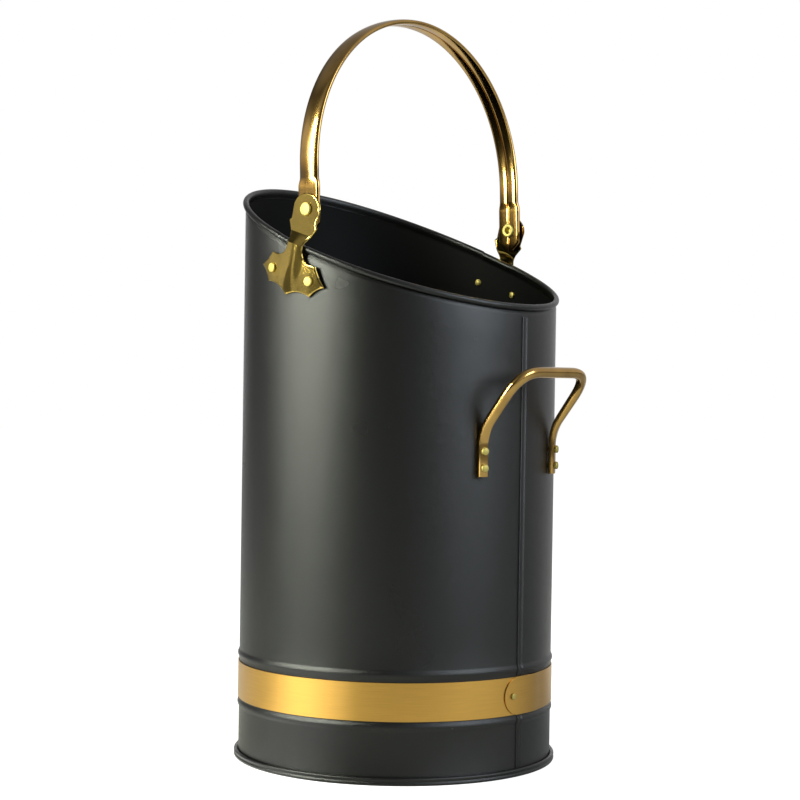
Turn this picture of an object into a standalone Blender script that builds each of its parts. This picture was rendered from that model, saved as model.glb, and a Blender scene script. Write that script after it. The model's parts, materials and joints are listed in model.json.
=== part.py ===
"""Log carrier: a tall round hod of painted sheet steel for carrying fuel to a hearth.

Its mouth is cut on a slant and rolled over a wire. A brass bail swings on two stamped ears,
a fixed brass handle behind tips it, and a brass band lies between two swaged beads.
Lengths are in metres. +Z is up, the pouring lip faces -Y, and the ears stand at +X and -X.
"""

from math import asin, atan2, cos, pi, radians, sin

import bmesh
import bpy
from mathutils import Matrix, Vector

MODEL_NAME = "log_carrier"

# Sheet steel body
BODY_RADIUS = 0.125
SHEET = 0.0008
SEAT_GAP = 0.0003
AROUND = 48

# Slanted mouth, measured at the centre of its rolled edge
RIM_SIDE_HEIGHT = 0.4038
RIM_FRONT_RISE = 0.0535
RIM_REAR_FALL = 0.0459
WIRE_DIAMETER = 0.0026
CURL_PROUD = 0.0022
CURL_STEPS = 6
CURL_START = radians(-95)
CURL_SWEEP = radians(275)
SET_IN_DEPTH = 0.0066
SET_IN_STEPS = 3

# Lengthwise seam down the rear
SEAM_TURN = radians(0.6)
SEAM_WIDTH = 0.0068
SEAM_PROUD = 0.0010
SEAM_EDGE = 0.0009

# Brass band and the swaged beads that keep it in place
BAND_BOTTOM = 0.0473
BAND_WIDTH = 0.0290
BAND_THICKNESS = 0.0006
BAND_INNER_END = radians(-7.0)
BAND_OUTER_END = radians(7.5)
BAND_STEP_LENGTH = radians(7.0)
BAND_STEP_MARGIN = radians(1.5)
BAND_TIP_TURN = radians(82.0)
BAND_STATIONS = 72
BAND_END_STATIONS = 6
BEAD_HEIGHT = 0.0012
BEAD_HALF_WIDTH = 0.0040
UPPER_BEAD_GAP = 0.0016
LOWER_BEAD_GAP = 0.0002
BEAD_STEPS = 4

# Foot, where the base is seamed to the wall
FOOT_PROUD = 0.0034
FOOT_HEIGHT = 0.0062
FOOT_GROOVE = 0.0007
BASE_RECESS = 0.0026
BASE_CORNER = 0.0008

# The wall's flange inside the foot: its size as shares of the foot's, and its outline as
# shares of its own reach and rise
FLANGE_REACH_SHARE = 0.38
FLANGE_RISE_SHARE = 0.35
FLANGE_OUTLINE_SHARES = ((0.00, 1.00), (0.25, 0.33), (1.00, 0.00))

# Stamped ears
EAR_SHEET = 0.0014
EAR_DROP = 0.0242
EAR_ARC = -0.0003
EAR_TILT = radians(17.0)
EAR_HALF_SPAN = 0.0340
EAR_PIVOT_RISE = 0.0246
EAR_RIVET_SPACING = 0.0390
EAR_HEAD_HALF_WIDTH = 0.0138
EAR_HEAD_RISE = 0.0120
EAR_LEAN = 0.0032
EAR_RIB_RISE = 0.0010
EAR_RIB_HALF_WIDTH = 0.0010
EAR_RIB_FLANK = 0.0100
EAR_RIB_TOE = 0.0240
EAR_RIB_TOE_SHARE = 0.35
EAR_BEND_START_SHARE = 0.52
EAR_BEND_END_SHARE = 0.64
EAR_CELL_COLUMNS = 14
EAR_CELL_ROWS = 18

# Corners of half an ear, bottom to top: shares of the half span across and of the reach up,
# and the bow of the edge that leads to each corner as a share of the half span
EAR_OUTLINE_SHARES = (
    (0.000, -0.314, 0.000),
    (0.676, -0.225, -0.085),
    (1.000, -0.020, -0.050),
    (0.647, 0.241, -0.025),
    (0.500, 0.235, 0.000),
    (0.221, 0.451, -0.100),
    (0.256, 0.553, -0.012),
    (0.440, 0.770, 0.000),
    (0.385, 0.812, 0.000),
)
EDGE_BOW_STEPS = 4
HEAD_STEPS = 12

# Bail
BAIL_LEG_INSET = 0.0011
BAIL_ARCH_INSET = 0.0005
BAIL_ARCH_RISE = 0.0350
BAIL_STRAP_WIDTH = 0.0184
BAIL_STRAP_THICKNESS = 0.0045
BAIL_END_WIDTH = 0.0212
BAIL_END_THICKNESS = 0.0032
BAIL_RIM_GAP = 0.0052
BAIL_END_CHAMFER = 0.0066
BAIL_FLAT_LENGTH = 0.0195
BAIL_JOG_LENGTH = 0.0100
BAIL_JOG_STEPS = 4
BAIL_ARCH_STEPS = 18
BAIL_LEAN = radians(2.0)

# Section of the bail: shares of half the width and of half the thickness
STRAP_SECTION_SHARES = (
    (1.00, 0.10),
    (0.95, 0.62),
    (0.78, 0.88),
    (0.00, 1.00),
    (-0.78, 0.88),
    (-0.95, 0.62),
    (-1.00, 0.10),
    (-0.96, -0.66),
    (-0.82, -1.00),
    (-0.13, -0.94),
    (0.00, -0.30),
    (0.13, -0.94),
    (0.82, -1.00),
    (0.96, -0.66),
)

# Rear tipping handle
HANDLE_TURN = radians(1.4)
HANDLE_LEG_SPREAD = 0.0448
HANDLE_BAR_DROP = 0.0494
HANDLE_HEIGHT = 0.0790
HANDLE_NECK = 0.0034
HANDLE_BAR_REACH = 0.0288
HANDLE_BAR_HALF = 0.0443
HANDLE_BAR_WIDTH = 0.0080
HANDLE_BAR_DEPTH = 0.0074
HANDLE_LEG_WIDTH = 0.0080
HANDLE_LEG_DEPTH = 0.0047
HANDLE_LOW_BEND = 0.0230
HANDLE_TOP_BEND = 0.0235
HANDLE_BEND_STEPS = 5
HANDLE_SECTION_POINTS = 10
HANDLE_SECTION_POWER = 3.2
HANDLE_RIVET_EDGE = 0.0066
HANDLE_RIVET_SPACING = 0.0127

# Rivets: shank, head and tail
SHANK_CLEARANCE = 0.0003
EAR_SHANK = 0.0036
EAR_RIVET_HEAD = 0.0075
EAR_RIVET_RISE = 0.0015
HANDLE_SHANK = 0.0032
HANDLE_RIVET_HEAD = 0.0060
HANDLE_RIVET_RISE = 0.0021
BAND_SHANK = 0.0026
BAND_RIVET_HEAD = 0.0050
BAND_RIVET_RISE = 0.0012
BAND_RIVET_ARC = 0.0076
PIVOT_SHANK = 0.0060
PIVOT_HEAD = 0.0105
PIVOT_RISE = 0.0018
PIVOT_CLINCH = 0.0115
PIVOT_CLINCH_RISE = 0.0016
PIVOT_CUP_WALL = 0.0008
PIVOT_CUP_DEPTH = 0.0040
TAIL_SHARE = 1.6
TAIL_RISE_SHARE = 0.35
RIVET_SIDES = 10
PIVOT_SIDES = 16

# Outlines of the rivets, as shares of each feature's radius and rise
HEAD_OUTLINE_SHARES = ((0.00, 1.00), (0.62, 0.86), (1.00, 0.20), (0.96, 0.00))
TAIL_OUTLINE_SHARES = ((1.00, 0.00), (0.84, 1.00), (0.00, 1.00))
PIVOT_HEAD_OUTLINE_SHARES = ((0.00, 1.00), (0.60, 0.95), (0.88, 0.70), (1.00, 0.20), (0.97, 0.00))
CLINCH_OUTLINE_SHARES = ((1.00, 0.00), (0.94, 0.70), (0.76, 1.00))
CUP_MOUTH_SHARE = 0.80
CUP_FLOOR_SHARE = 0.75

# Overrun of every cutter, and the distance within which a mesh's points are one
CUT_OVERRUN = 0.0060
MERGE_DISTANCE = 0.00001

# Sizes that follow from those above
WALL_MIDDLE = BODY_RADIUS - SHEET / 2
WALL_INSIDE = BODY_RADIUS - SHEET
WALL_FLAT_INSIDE = WALL_INSIDE * cos(pi / AROUND)
FLANGE_REACH = FOOT_PROUD * FLANGE_REACH_SHARE
FLANGE_RISE = FOOT_HEIGHT * FLANGE_RISE_SHARE
CURL_RADIUS = WIRE_DIAMETER / 2 + SEAT_GAP + SHEET / 2
CURL_CENTRE = BODY_RADIUS + CURL_PROUD - CURL_RADIUS - SHEET / 2
BAND_TOP = BAND_BOTTOM + BAND_WIDTH
UPPER_BEAD = BAND_TOP + UPPER_BEAD_GAP + BEAD_HALF_WIDTH
LOWER_BEAD = BAND_BOTTOM - LOWER_BEAD_GAP - BEAD_HALF_WIDTH
LIFT_START = UPPER_BEAD + BEAD_HALF_WIDTH
LIFT_END = RIM_SIDE_HEIGHT - SET_IN_DEPTH
EAR_SEAT = BODY_RADIUS + SEAT_GAP
EAR_RIVET_HEIGHT = RIM_SIDE_HEIGHT - EAR_DROP
EAR_REACH = (EAR_DROP + EAR_PIVOT_RISE) / cos(EAR_TILT)
BAIL_LEG_SEAT = BODY_RADIUS - BAIL_LEG_INSET
BAIL_ARCH_RADIUS = BODY_RADIUS - BAIL_ARCH_INSET
EAR_HEAD_SEAT = BAIL_LEG_SEAT + SEAT_GAP
PIVOT_Y = EAR_ARC + EAR_REACH * sin(EAR_TILT)
PIVOT_Z = RIM_SIDE_HEIGHT + EAR_PIVOT_RISE
BAIL_END_LENGTH = EAR_PIVOT_RISE - CURL_RADIUS - SHEET / 2 - BAIL_RIM_GAP
BAND_SEAT = BODY_RADIUS + SEAT_GAP
BAND_LAP_SEAT = BAND_SEAT + BAND_THICKNESS + SEAT_GAP
HANDLE_LEG_SEAT = BODY_RADIUS + SEAT_GAP
HANDLE_LEG_CENTRE = HANDLE_LEG_SEAT + HANDLE_LEG_DEPTH / 2
HANDLE_LEG_TURN = asin(HANDLE_LEG_SPREAD / HANDLE_LEG_CENTRE)
HANDLE_BAR_HEIGHT = RIM_SIDE_HEIGHT - RIM_REAR_FALL - HANDLE_BAR_DROP
HANDLE_FOOT_HEIGHT = HANDLE_BAR_HEIGHT - HANDLE_HEIGHT
HANDLE_UPPER_RIVET = HANDLE_RIVET_EDGE + HANDLE_RIVET_SPACING
HANDLE_BEND_HEIGHT = HANDLE_FOOT_HEIGHT + HANDLE_UPPER_RIVET + HANDLE_NECK + HANDLE_LOW_BEND / 2


def new_collection(name):
    """A collection under the scene's own."""
    group = bpy.data.collections.new(name)
    bpy.context.scene.collection.children.link(group)
    return group


def new_material(name, colour, roughness, metallic):
    """A Principled material with one plain colour."""
    finish = bpy.data.materials.new(name)
    finish.use_nodes = True
    shader = finish.node_tree.nodes["Principled BSDF"]
    shader.inputs["Base Color"].default_value = (*colour, 1)
    shader.inputs["Roughness"].default_value = roughness
    shader.inputs["Metallic"].default_value = metallic
    return finish


def smooth_step(low, high, value):
    """An even rise from 0 at low to 1 at high."""
    share = min(max((value - low) / (high - low), 0), 1)
    return share * share * (3 - 2 * share)


def object_from_bmesh(shape, name, group, finish=None):
    """An object whose mesh is the given bmesh, in the given collection."""
    mesh = bpy.data.meshes.new(name)
    shape.to_mesh(mesh)
    shape.free()
    piece = bpy.data.objects.new(name, mesh)
    group.objects.link(piece)
    if finish:
        mesh.materials.append(finish)
    return piece


def evaluated_bmesh(piece):
    """The piece's mesh with its modifiers applied."""
    bpy.context.view_layer.update()
    shape = bmesh.new()
    depsgraph = bpy.context.evaluated_depsgraph_get()
    evaluated = piece.evaluated_get(depsgraph)
    shape.from_mesh(evaluated.to_mesh())
    evaluated.to_mesh_clear()
    return shape


def smooth(piece, angle=radians(35)):
    """Round faces shade smooth and keep their sharp edges."""
    piece.data.shade_smooth()
    piece.data.set_sharp_from_angle(angle=angle)


def hide_tool(piece):
    """Cutters and joined shapes are kept out of the model."""
    piece.hide_render = True
    piece.display_type = "WIRE"


def add_screw(piece, steps):
    """Turn a profile in the XZ plane about Z."""
    screw = piece.modifiers.new("turn", "SCREW")
    screw.steps = steps
    screw.render_steps = steps
    screw.use_merge_vertices = True
    screw.merge_threshold = MERGE_DISTANCE
    screw.use_smooth_shade = True


def add_solidify(piece, thickness, offset):
    """Give a sheet its thickness."""
    wall = piece.modifiers.new("sheet", "SOLIDIFY")
    wall.thickness = thickness
    wall.offset = offset
    wall.use_even_offset = True


def add_boolean(piece, tool, operation):
    """Cut the piece by the tool, join it to the tool, or keep what they share."""
    cut = piece.modifiers.new(tool.name, "BOOLEAN")
    cut.object = tool
    cut.operation = operation
    cut.solver = "EXACT"


def add_mirror(piece):
    """Complete a half that is open at x = 0."""
    mirror = piece.modifiers.new("mirror", "MIRROR")
    mirror.use_axis = (True, False, False)
    mirror.merge_threshold = MERGE_DISTANCE


def turned(name, profile, steps, group, finish=None):
    """A profile of (radius, height) points, down its outer side, turned about Z."""
    shape = bmesh.new()
    points = [shape.verts.new((radius, 0, height)) for radius, height in profile]
    for first, second in zip(points, points[1:]):
        shape.edges.new((first, second))
    piece = object_from_bmesh(shape, name, group, finish)
    add_screw(piece, steps)
    return piece


def loft(rings, cap_start, cap_end):
    """A tube through rings of equally many points."""
    shape = bmesh.new()
    rows = [[shape.verts.new(point) for point in ring] for ring in rings]
    count = len(rows[0])
    for lower, upper in zip(rows, rows[1:]):
        for index in range(count):
            after = (index + 1) % count
            shape.faces.new((lower[index], lower[after], upper[after], upper[index]))
    if cap_start:
        shape.faces.new(reversed(rows[0]))
    if cap_end:
        shape.faces.new(rows[-1])
    return shape


def radial_frame(turn, radius, height):
    """A frame at an angle from +X toward +Y, whose Z axis points out from the body's axis."""
    spin = Matrix.Rotation(turn, 4, "Z") @ Matrix.Rotation(pi / 2, 4, "Y")
    place = Vector((radius * cos(turn), radius * sin(turn), height))
    return Matrix.Translation(place) @ spin


def bore_cutter(name, bores, group):
    """Cylinders along the Z axes of the given frames, in one cutter."""
    shape = bmesh.new()
    for frame, diameter, length, sides in bores:
        bmesh.ops.create_cone(shape, cap_ends=True, segments=sides, radius1=diameter / 2,
                              radius2=diameter / 2, depth=length, matrix=frame)
    tool = object_from_bmesh(shape, name, group)
    hide_tool(tool)
    return tool


def rim_height(turn):
    """Height of the rolled edge at an angle from +X toward +Y."""
    side = sin(turn)
    slope = (RIM_FRONT_RISE + RIM_REAR_FALL) / 2
    bow = (RIM_FRONT_RISE - RIM_REAR_FALL) / 2
    return RIM_SIDE_HEIGHT - slope * side + bow * side * side


def lifted(height, turn):
    """Where a height of the level body profile goes once the mouth is slanted."""
    share = min(max((height - LIFT_START) / (LIFT_END - LIFT_START), 0), 1)
    return height + share * (rim_height(turn) - RIM_SIDE_HEIGHT)


def bead_profile(middle):
    """A swaged bead, from its upper end to its lower end."""
    points = []
    for step in range(BEAD_STEPS + 1):
        share = 1 - 2 * step / BEAD_STEPS
        bulge = BEAD_HEIGHT * (1 + cos(pi * share)) / 2
        points.append((WALL_MIDDLE + bulge, middle + share * BEAD_HALF_WIDTH))
    return points


def curl_profile():
    """The rolled edge round the wire, from its free lip to its inner side."""
    points = []
    for step in range(CURL_STEPS + 1):
        turn = CURL_START + CURL_SWEEP * step / CURL_STEPS
        points.append((CURL_CENTRE + CURL_RADIUS * cos(turn),
                       RIM_SIDE_HEIGHT + CURL_RADIUS * sin(turn)))
    return points


def set_in_profile():
    """The gentle step under the rolled edge that leads out to the wall."""
    inner = CURL_CENTRE - CURL_RADIUS
    points = []
    for step in range(1, SET_IN_STEPS + 1):
        share = step / SET_IN_STEPS
        radius = inner + (WALL_MIDDLE - inner) * smooth_step(0, 1, share)
        points.append((radius, RIM_SIDE_HEIGHT - SET_IN_DEPTH * share))
    return points


def wall_profile():
    """The wall from the end of its set-in step down to its flange, at mid thickness."""
    flange_height = SHEET + SEAT_GAP + SHEET / 2
    flange = [(WALL_MIDDLE + reach * FLANGE_REACH, flange_height + rise * FLANGE_RISE)
              for reach, rise in FLANGE_OUTLINE_SHARES]
    return bead_profile(UPPER_BEAD) + bead_profile(LOWER_BEAD) + flange


def seam_ridge(name, top, bottom, tools):
    """The raised lengthwise seam between two points of the wall, as a solid to join to it."""
    half = SEAM_WIDTH / 2
    turn = pi / 2 + SEAM_TURN
    rings = []
    for radius, height in (top, bottom):
        level = lifted(height, turn)
        outside = radius + SHEET / 2
        rings.append([
            Vector((-half, radius, level)),
            Vector((half, radius, level)),
            Vector((half, outside, level)),
            Vector((half - SEAM_EDGE, outside + SEAM_PROUD, level)),
            Vector((SEAM_EDGE - half, outside + SEAM_PROUD, level)),
            Vector((-half, outside, level)),
        ])
    shape = loft(rings, True, True)
    bmesh.ops.recalc_face_normals(shape, faces=shape.faces)
    bmesh.ops.rotate(shape, verts=shape.verts, matrix=Matrix.Rotation(SEAM_TURN, 3, "Z"))
    ridge = object_from_bmesh(shape, name, tools)
    hide_tool(ridge)
    return ridge


def make_body_shell(group, tools, finish, cutter):
    """The rolled wall with its slanted wired mouth, its beads, its seam and its flange."""
    profile = curl_profile() + set_in_profile() + wall_profile()
    level = turned("body_level", profile, AROUND, tools)
    shape = evaluated_bmesh(level)
    bpy.data.objects.remove(level)
    for vertex in shape.verts:
        vertex.co.z = lifted(vertex.co.z, atan2(vertex.co.y, vertex.co.x))
    body = object_from_bmesh(shape, "body_shell", group, finish)
    add_solidify(body, SHEET, 0)
    ends = (
        (WALL_MIDDLE, LIFT_END),
        (WALL_MIDDLE, BAND_TOP + SEAT_GAP),
        (WALL_MIDDLE, BAND_BOTTOM - SEAT_GAP),
        (WALL_MIDDLE, FOOT_HEIGHT + SEAT_GAP),
    )
    add_boolean(body, seam_ridge("seam_upper", ends[0], ends[1], tools), "UNION")
    add_boolean(body, seam_ridge("seam_lower", ends[2], ends[3], tools), "UNION")
    add_boolean(body, cutter, "DIFFERENCE")
    smooth(body)


def make_rim_wire(group, finish):
    """The steel wire that the mouth's edge is rolled over."""
    curve = bpy.data.curves.new("rim_wire", "CURVE")
    curve.dimensions = "3D"
    curve.bevel_depth = WIRE_DIAMETER / 2
    curve.bevel_resolution = 1
    spline = curve.splines.new("POLY")
    spline.points.add(AROUND - 1)
    for index, point in enumerate(spline.points):
        turn = 2 * pi * index / AROUND
        place = (CURL_CENTRE * cos(turn), CURL_CENTRE * sin(turn), rim_height(turn))
        point.co = (*place, 1)
    spline.use_cyclic_u = True
    wire = bpy.data.objects.new("rim_wire", curve)
    curve.materials.append(finish)
    group.objects.link(wire)


def make_base_pan(group, finish):
    """The base plate, whose edge is seamed round the wall's flange and makes the foot."""
    plate = BASE_RECESS + SHEET / 2
    inner = WALL_INSIDE - SEAT_GAP - SHEET / 2
    outer = BODY_RADIUS + FOOT_PROUD - SHEET / 2
    top = FOOT_HEIGHT - SHEET / 2
    floor = SHEET / 2
    middle = FOOT_HEIGHT / 2
    profile = (
        (BODY_RADIUS + SEAT_GAP + SHEET / 2, top - BASE_CORNER / 2),
        (outer - BASE_CORNER, top),
        (outer, top - BASE_CORNER),
        (outer - FOOT_GROOVE, middle),
        (outer, floor + BASE_CORNER),
        (outer - BASE_CORNER, floor),
        (inner, floor),
        (inner, plate - BASE_CORNER),
        (inner - BASE_CORNER, plate),
        (0, plate),
    )
    pan = turned("base_pan", profile, AROUND, group, finish)
    add_solidify(pan, SHEET, 0)
    smooth(pan)


def band_stations():
    """Angles from +Y toward +X along the band, each with its half width."""
    round_end = BAND_WIDTH / 2
    end_turn = 2 * pi + BAND_OUTER_END
    straight_end = end_turn - round_end / BAND_LAP_SEAT
    stations = []
    for index in range(BAND_STATIONS + 1):
        share = index / BAND_STATIONS
        stations.append((BAND_INNER_END + share * (straight_end - BAND_INNER_END), round_end))
    for index in range(BAND_END_STATIONS):
        angle = BAND_TIP_TURN * (index + 1) / BAND_END_STATIONS
        stations.append((straight_end + round_end * sin(angle) / BAND_LAP_SEAT,
                         round_end * cos(angle)))
    return stations


def make_brass_band(group, finish, cutter):
    """The band: one strip round the wall whose rounded end laps over its beginning."""
    step_end = 2 * pi + BAND_INNER_END - BAND_STEP_MARGIN
    step_start = step_end - BAND_STEP_LENGTH
    middle = BAND_BOTTOM + BAND_WIDTH / 2
    shape = bmesh.new()
    rows = []
    for turn, half in band_stations():
        rise = smooth_step(step_start, step_end, turn)
        radius = BAND_SEAT + rise * (BAND_LAP_SEAT - BAND_SEAT)
        place = (radius * sin(turn), radius * cos(turn))
        rows.append([shape.verts.new((*place, middle + level)) for level in (half, -half)])
    for first, second in zip(rows, rows[1:]):
        shape.faces.new((first[0], second[0], second[1], first[1]))
    band = object_from_bmesh(shape, "brass_band", group, finish)
    add_solidify(band, BAND_THICKNESS, 1)
    add_boolean(band, cutter, "DIFFERENCE")
    smooth(band)


def bowed_edge(start, end, bow):
    """Points from just after start to end, on an arc that bows out by the given amount."""
    chord = end - start
    if bow == 0:
        return [end]
    outward = Vector((chord.y, -chord.x)).normalized()
    points = []
    for step in range(1, EDGE_BOW_STEPS + 1):
        share = step / EDGE_BOW_STEPS
        points.append(start + share * chord + 4 * share * (1 - share) * bow * outward)
    return points


def ear_outline():
    """The ear's outline in its own plane, anticlockwise from its bottom point."""
    half = []
    for across, up, bow in EAR_OUTLINE_SHARES:
        corner = Vector((across * EAR_HALF_SPAN, up * EAR_REACH))
        if half:
            half.extend(bowed_edge(half[-1], corner, bow * EAR_HALF_SPAN))
        else:
            half.append(corner)
    for step in range(HEAD_STEPS // 2):
        turn = pi * step / HEAD_STEPS
        half.append(Vector((EAR_HEAD_HALF_WIDTH * cos(turn), EAR_REACH + EAR_HEAD_RISE * sin(turn))))
    crown = Vector((0, EAR_REACH + EAR_HEAD_RISE))
    mirrored = [Vector((-point.x, point.y)) for point in reversed(half[1:])]
    return half + [crown] + mirrored


def ear_toe():
    """Height of the ear's lowest point on its flat blank."""
    return EAR_OUTLINE_SHARES[0][1] * EAR_REACH


def ear_lean(up):
    """How far the whole ear stands off the wall, to clear the curled edge."""
    toe = ear_toe()
    return EAR_LEAN * min((up - toe) / (EAR_DROP / cos(EAR_TILT) - toe), 1)


def ear_rib(across, up):
    """How far the ear's central rib stands proud of the sheet."""
    flank = 1 - smooth_step(EAR_RIB_HALF_WIDTH, EAR_RIB_HALF_WIDTH + EAR_RIB_FLANK, abs(across))
    rise = smooth_step(ear_toe(), ear_toe() + EAR_RIB_TOE, up)
    return EAR_RIB_RISE * flank * (EAR_RIB_TOE_SHARE + (1 - EAR_RIB_TOE_SHARE) * rise)


def formed(point, side):
    """Where a point of the flat ear blank goes once the blank is pressed to shape."""
    across, up, depth = point
    arc = EAR_ARC + across * cos(EAR_TILT) + up * sin(EAR_TILT)
    height = EAR_RIVET_HEIGHT - across * sin(EAR_TILT) + up * cos(EAR_TILT)
    radius = EAR_SEAT + ear_lean(up) + ear_rib(across, up) + depth
    turn = arc / EAR_SEAT
    wrapped = Vector((radius * cos(turn), radius * sin(turn), height))
    upright = Vector((EAR_HEAD_SEAT + depth, arc, height))
    bend = smooth_step(EAR_BEND_START_SHARE * EAR_REACH, EAR_BEND_END_SHARE * EAR_REACH, up)
    place = wrapped.lerp(upright, bend)
    place.x *= side
    return place


def ear_blank(name, tools):
    """The flat stamped blank of an ear, with its three holes."""
    outline = ear_outline()
    curve = bpy.data.curves.new(name + "_outline", "CURVE")
    curve.dimensions = "2D"
    curve.fill_mode = "BOTH"
    curve.extrude = CUT_OVERRUN
    spline = curve.splines.new("POLY")
    spline.points.add(len(outline) - 1)
    for point, corner in zip(spline.points, outline):
        point.co = (*corner, 0, 1)
    spline.use_cyclic_u = True
    drawn = bpy.data.objects.new(name + "_drawn", curve)
    tools.objects.link(drawn)
    shape = evaluated_bmesh(drawn)
    bpy.data.objects.remove(drawn)
    bmesh.ops.remove_doubles(shape, verts=shape.verts, dist=MERGE_DISTANCE)
    punch = object_from_bmesh(shape, name + "_punch", tools)
    hide_tool(punch)

    low = min(corner.y for corner in outline)
    high = max(corner.y for corner in outline)
    plate = bmesh.new()
    bmesh.ops.create_grid(plate, x_segments=EAR_CELL_COLUMNS, y_segments=EAR_CELL_ROWS, size=0.5)
    width = 2 * (EAR_HALF_SPAN + EAR_SHEET)
    depth = high - low + 2 * EAR_SHEET
    bmesh.ops.scale(plate, verts=plate.verts, vec=(width, depth, 1))
    bmesh.ops.translate(plate, verts=plate.verts, vec=(0, (low + high) / 2, 0))
    blank = object_from_bmesh(plate, name + "_blank", tools)
    add_solidify(blank, EAR_SHEET, 1)
    add_boolean(blank, punch, "INTERSECT")
    bores = [
        (Matrix.Translation((0, EAR_REACH, 0)), PIVOT_SHANK + 2 * SHANK_CLEARANCE,
         2 * CUT_OVERRUN, PIVOT_SIDES),
    ]
    for way in (-1, 1):
        bores.append((Matrix.Translation((way * EAR_RIVET_SPACING / 2, 0, 0)),
                      EAR_SHANK + 2 * SHANK_CLEARANCE, 2 * CUT_OVERRUN, RIVET_SIDES))
    add_boolean(blank, bore_cutter(name + "_bores", bores, tools), "DIFFERENCE")
    return blank


def make_ear(name, side, group, tools, finish):
    """A stamped ear: wings on the wall, a raised neck over the rim and an upright head."""
    blank = ear_blank(name, tools)
    shape = evaluated_bmesh(blank)
    bpy.data.objects.remove(blank)
    for vertex in shape.verts:
        vertex.co = formed(vertex.co, side)
    if side < 0:
        bmesh.ops.reverse_faces(shape, faces=shape.faces)
    ear = object_from_bmesh(shape, name, group, finish)
    smooth(ear)


def strap_ring(middle, outward, half_width, half_thickness):
    """The bail's section at one station, with its width along Y."""
    ring = []
    for across, out in STRAP_SECTION_SHARES:
        ring.append(middle + outward * out * half_thickness
                    + Vector((0, across * half_width, 0)))
    return ring


def bail_rings():
    """Stations of half the bail, from the end of its leg to the top of its arch."""
    end_middle = BAIL_LEG_SEAT - BAIL_END_THICKNESS / 2
    arch_middle = BAIL_ARCH_RADIUS - BAIL_STRAP_THICKNESS / 2
    chamfer = min(BAIL_END_CHAMFER, BAIL_END_LENGTH / 2)
    sideways = Vector((1, 0, 0))
    stations = [
        (-BAIL_END_LENGTH, BAIL_END_WIDTH / 2 - chamfer, 0),
        (chamfer - BAIL_END_LENGTH, BAIL_END_WIDTH / 2, 0),
        (0, BAIL_END_WIDTH / 2, 0),
    ]
    for step in range(BAIL_JOG_STEPS + 1):
        share = step / BAIL_JOG_STEPS
        blend = smooth_step(0, 1, share)
        half = BAIL_END_WIDTH / 2 + blend * (BAIL_STRAP_WIDTH - BAIL_END_WIDTH) / 2
        stations.append((BAIL_FLAT_LENGTH + share * BAIL_JOG_LENGTH, half, blend))
    rings = []
    for height, half, blend in stations:
        middle = Vector((end_middle + blend * (arch_middle - end_middle), 0, height))
        thickness = BAIL_END_THICKNESS + blend * (BAIL_STRAP_THICKNESS - BAIL_END_THICKNESS)
        rings.append(strap_ring(middle, sideways, half, thickness / 2))
    for step in range(BAIL_ARCH_STEPS + 1):
        turn = pi / 2 * step / BAIL_ARCH_STEPS
        outward = Vector((cos(turn), 0, sin(turn)))
        middle = Vector((0, 0, BAIL_ARCH_RISE)) + arch_middle * outward
        if step == BAIL_ARCH_STEPS:
            middle.x = 0
            outward = Vector((0, 0, 1))
        rings.append(strap_ring(middle, outward, BAIL_STRAP_WIDTH / 2, BAIL_STRAP_THICKNESS / 2))
    return rings


def make_bail(group, tools, finish):
    """The swinging bail, a folded brass strap, on an empty that lies on its pivot axis."""
    pivot = bpy.data.objects.new("bail_pivot_axis", None)
    pivot.location = (0, PIVOT_Y, PIVOT_Z)
    pivot.rotation_euler = (BAIL_LEAN, 0, 0)
    group.objects.link(pivot)
    shape = loft(bail_rings(), True, False)
    bmesh.ops.recalc_face_normals(shape, faces=shape.faces)
    bail = object_from_bmesh(shape, "bail_handle", group, finish)
    add_mirror(bail)
    along_x = Matrix.Rotation(pi / 2, 4, "Y")
    length = 2 * (BAIL_LEG_SEAT + CUT_OVERRUN)
    bores = [(along_x, PIVOT_SHANK + 2 * SHANK_CLEARANCE, length, PIVOT_SIDES)]
    cutter = bore_cutter("bail_bore", bores, tools)
    add_boolean(bail, cutter, "DIFFERENCE")
    bail.parent = pivot
    cutter.parent = pivot
    smooth(bail)


def rounded_corner(before, corner, after, cut, steps):
    """Points of a smooth bend that starts and ends a cut's length from the corner."""
    start = corner + (before - corner).normalized() * cut
    end = corner + (after - corner).normalized() * cut
    points = []
    for step in range(steps + 1):
        share = step / steps
        points.append(start * (1 - share) ** 2 + corner * 2 * share * (1 - share) + end * share ** 2)
    return points


def handle_path():
    """The middle line of half the rear handle, from its foot to x = 0."""
    leg_x = HANDLE_LEG_CENTRE * sin(HANDLE_LEG_TURN)
    leg_y = HANDLE_LEG_CENTRE * cos(HANDLE_LEG_TURN)
    bar_y = BODY_RADIUS + HANDLE_BAR_REACH
    foot = Vector((leg_x, leg_y, HANDLE_FOOT_HEIGHT))
    bend = Vector((leg_x, leg_y, HANDLE_BEND_HEIGHT))
    corner = Vector((HANDLE_BAR_HALF, bar_y, HANDLE_BAR_HEIGHT))
    middle = Vector((0, bar_y, HANDLE_BAR_HEIGHT))
    upper_rivet = foot + Vector((0, 0, HANDLE_UPPER_RIVET))
    return ([foot, upper_rivet]
            + rounded_corner(foot, bend, corner, HANDLE_LOW_BEND / 2, HANDLE_BEND_STEPS)
            + rounded_corner(bend, corner, middle, HANDLE_TOP_BEND, HANDLE_BEND_STEPS)
            + [middle])


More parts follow.
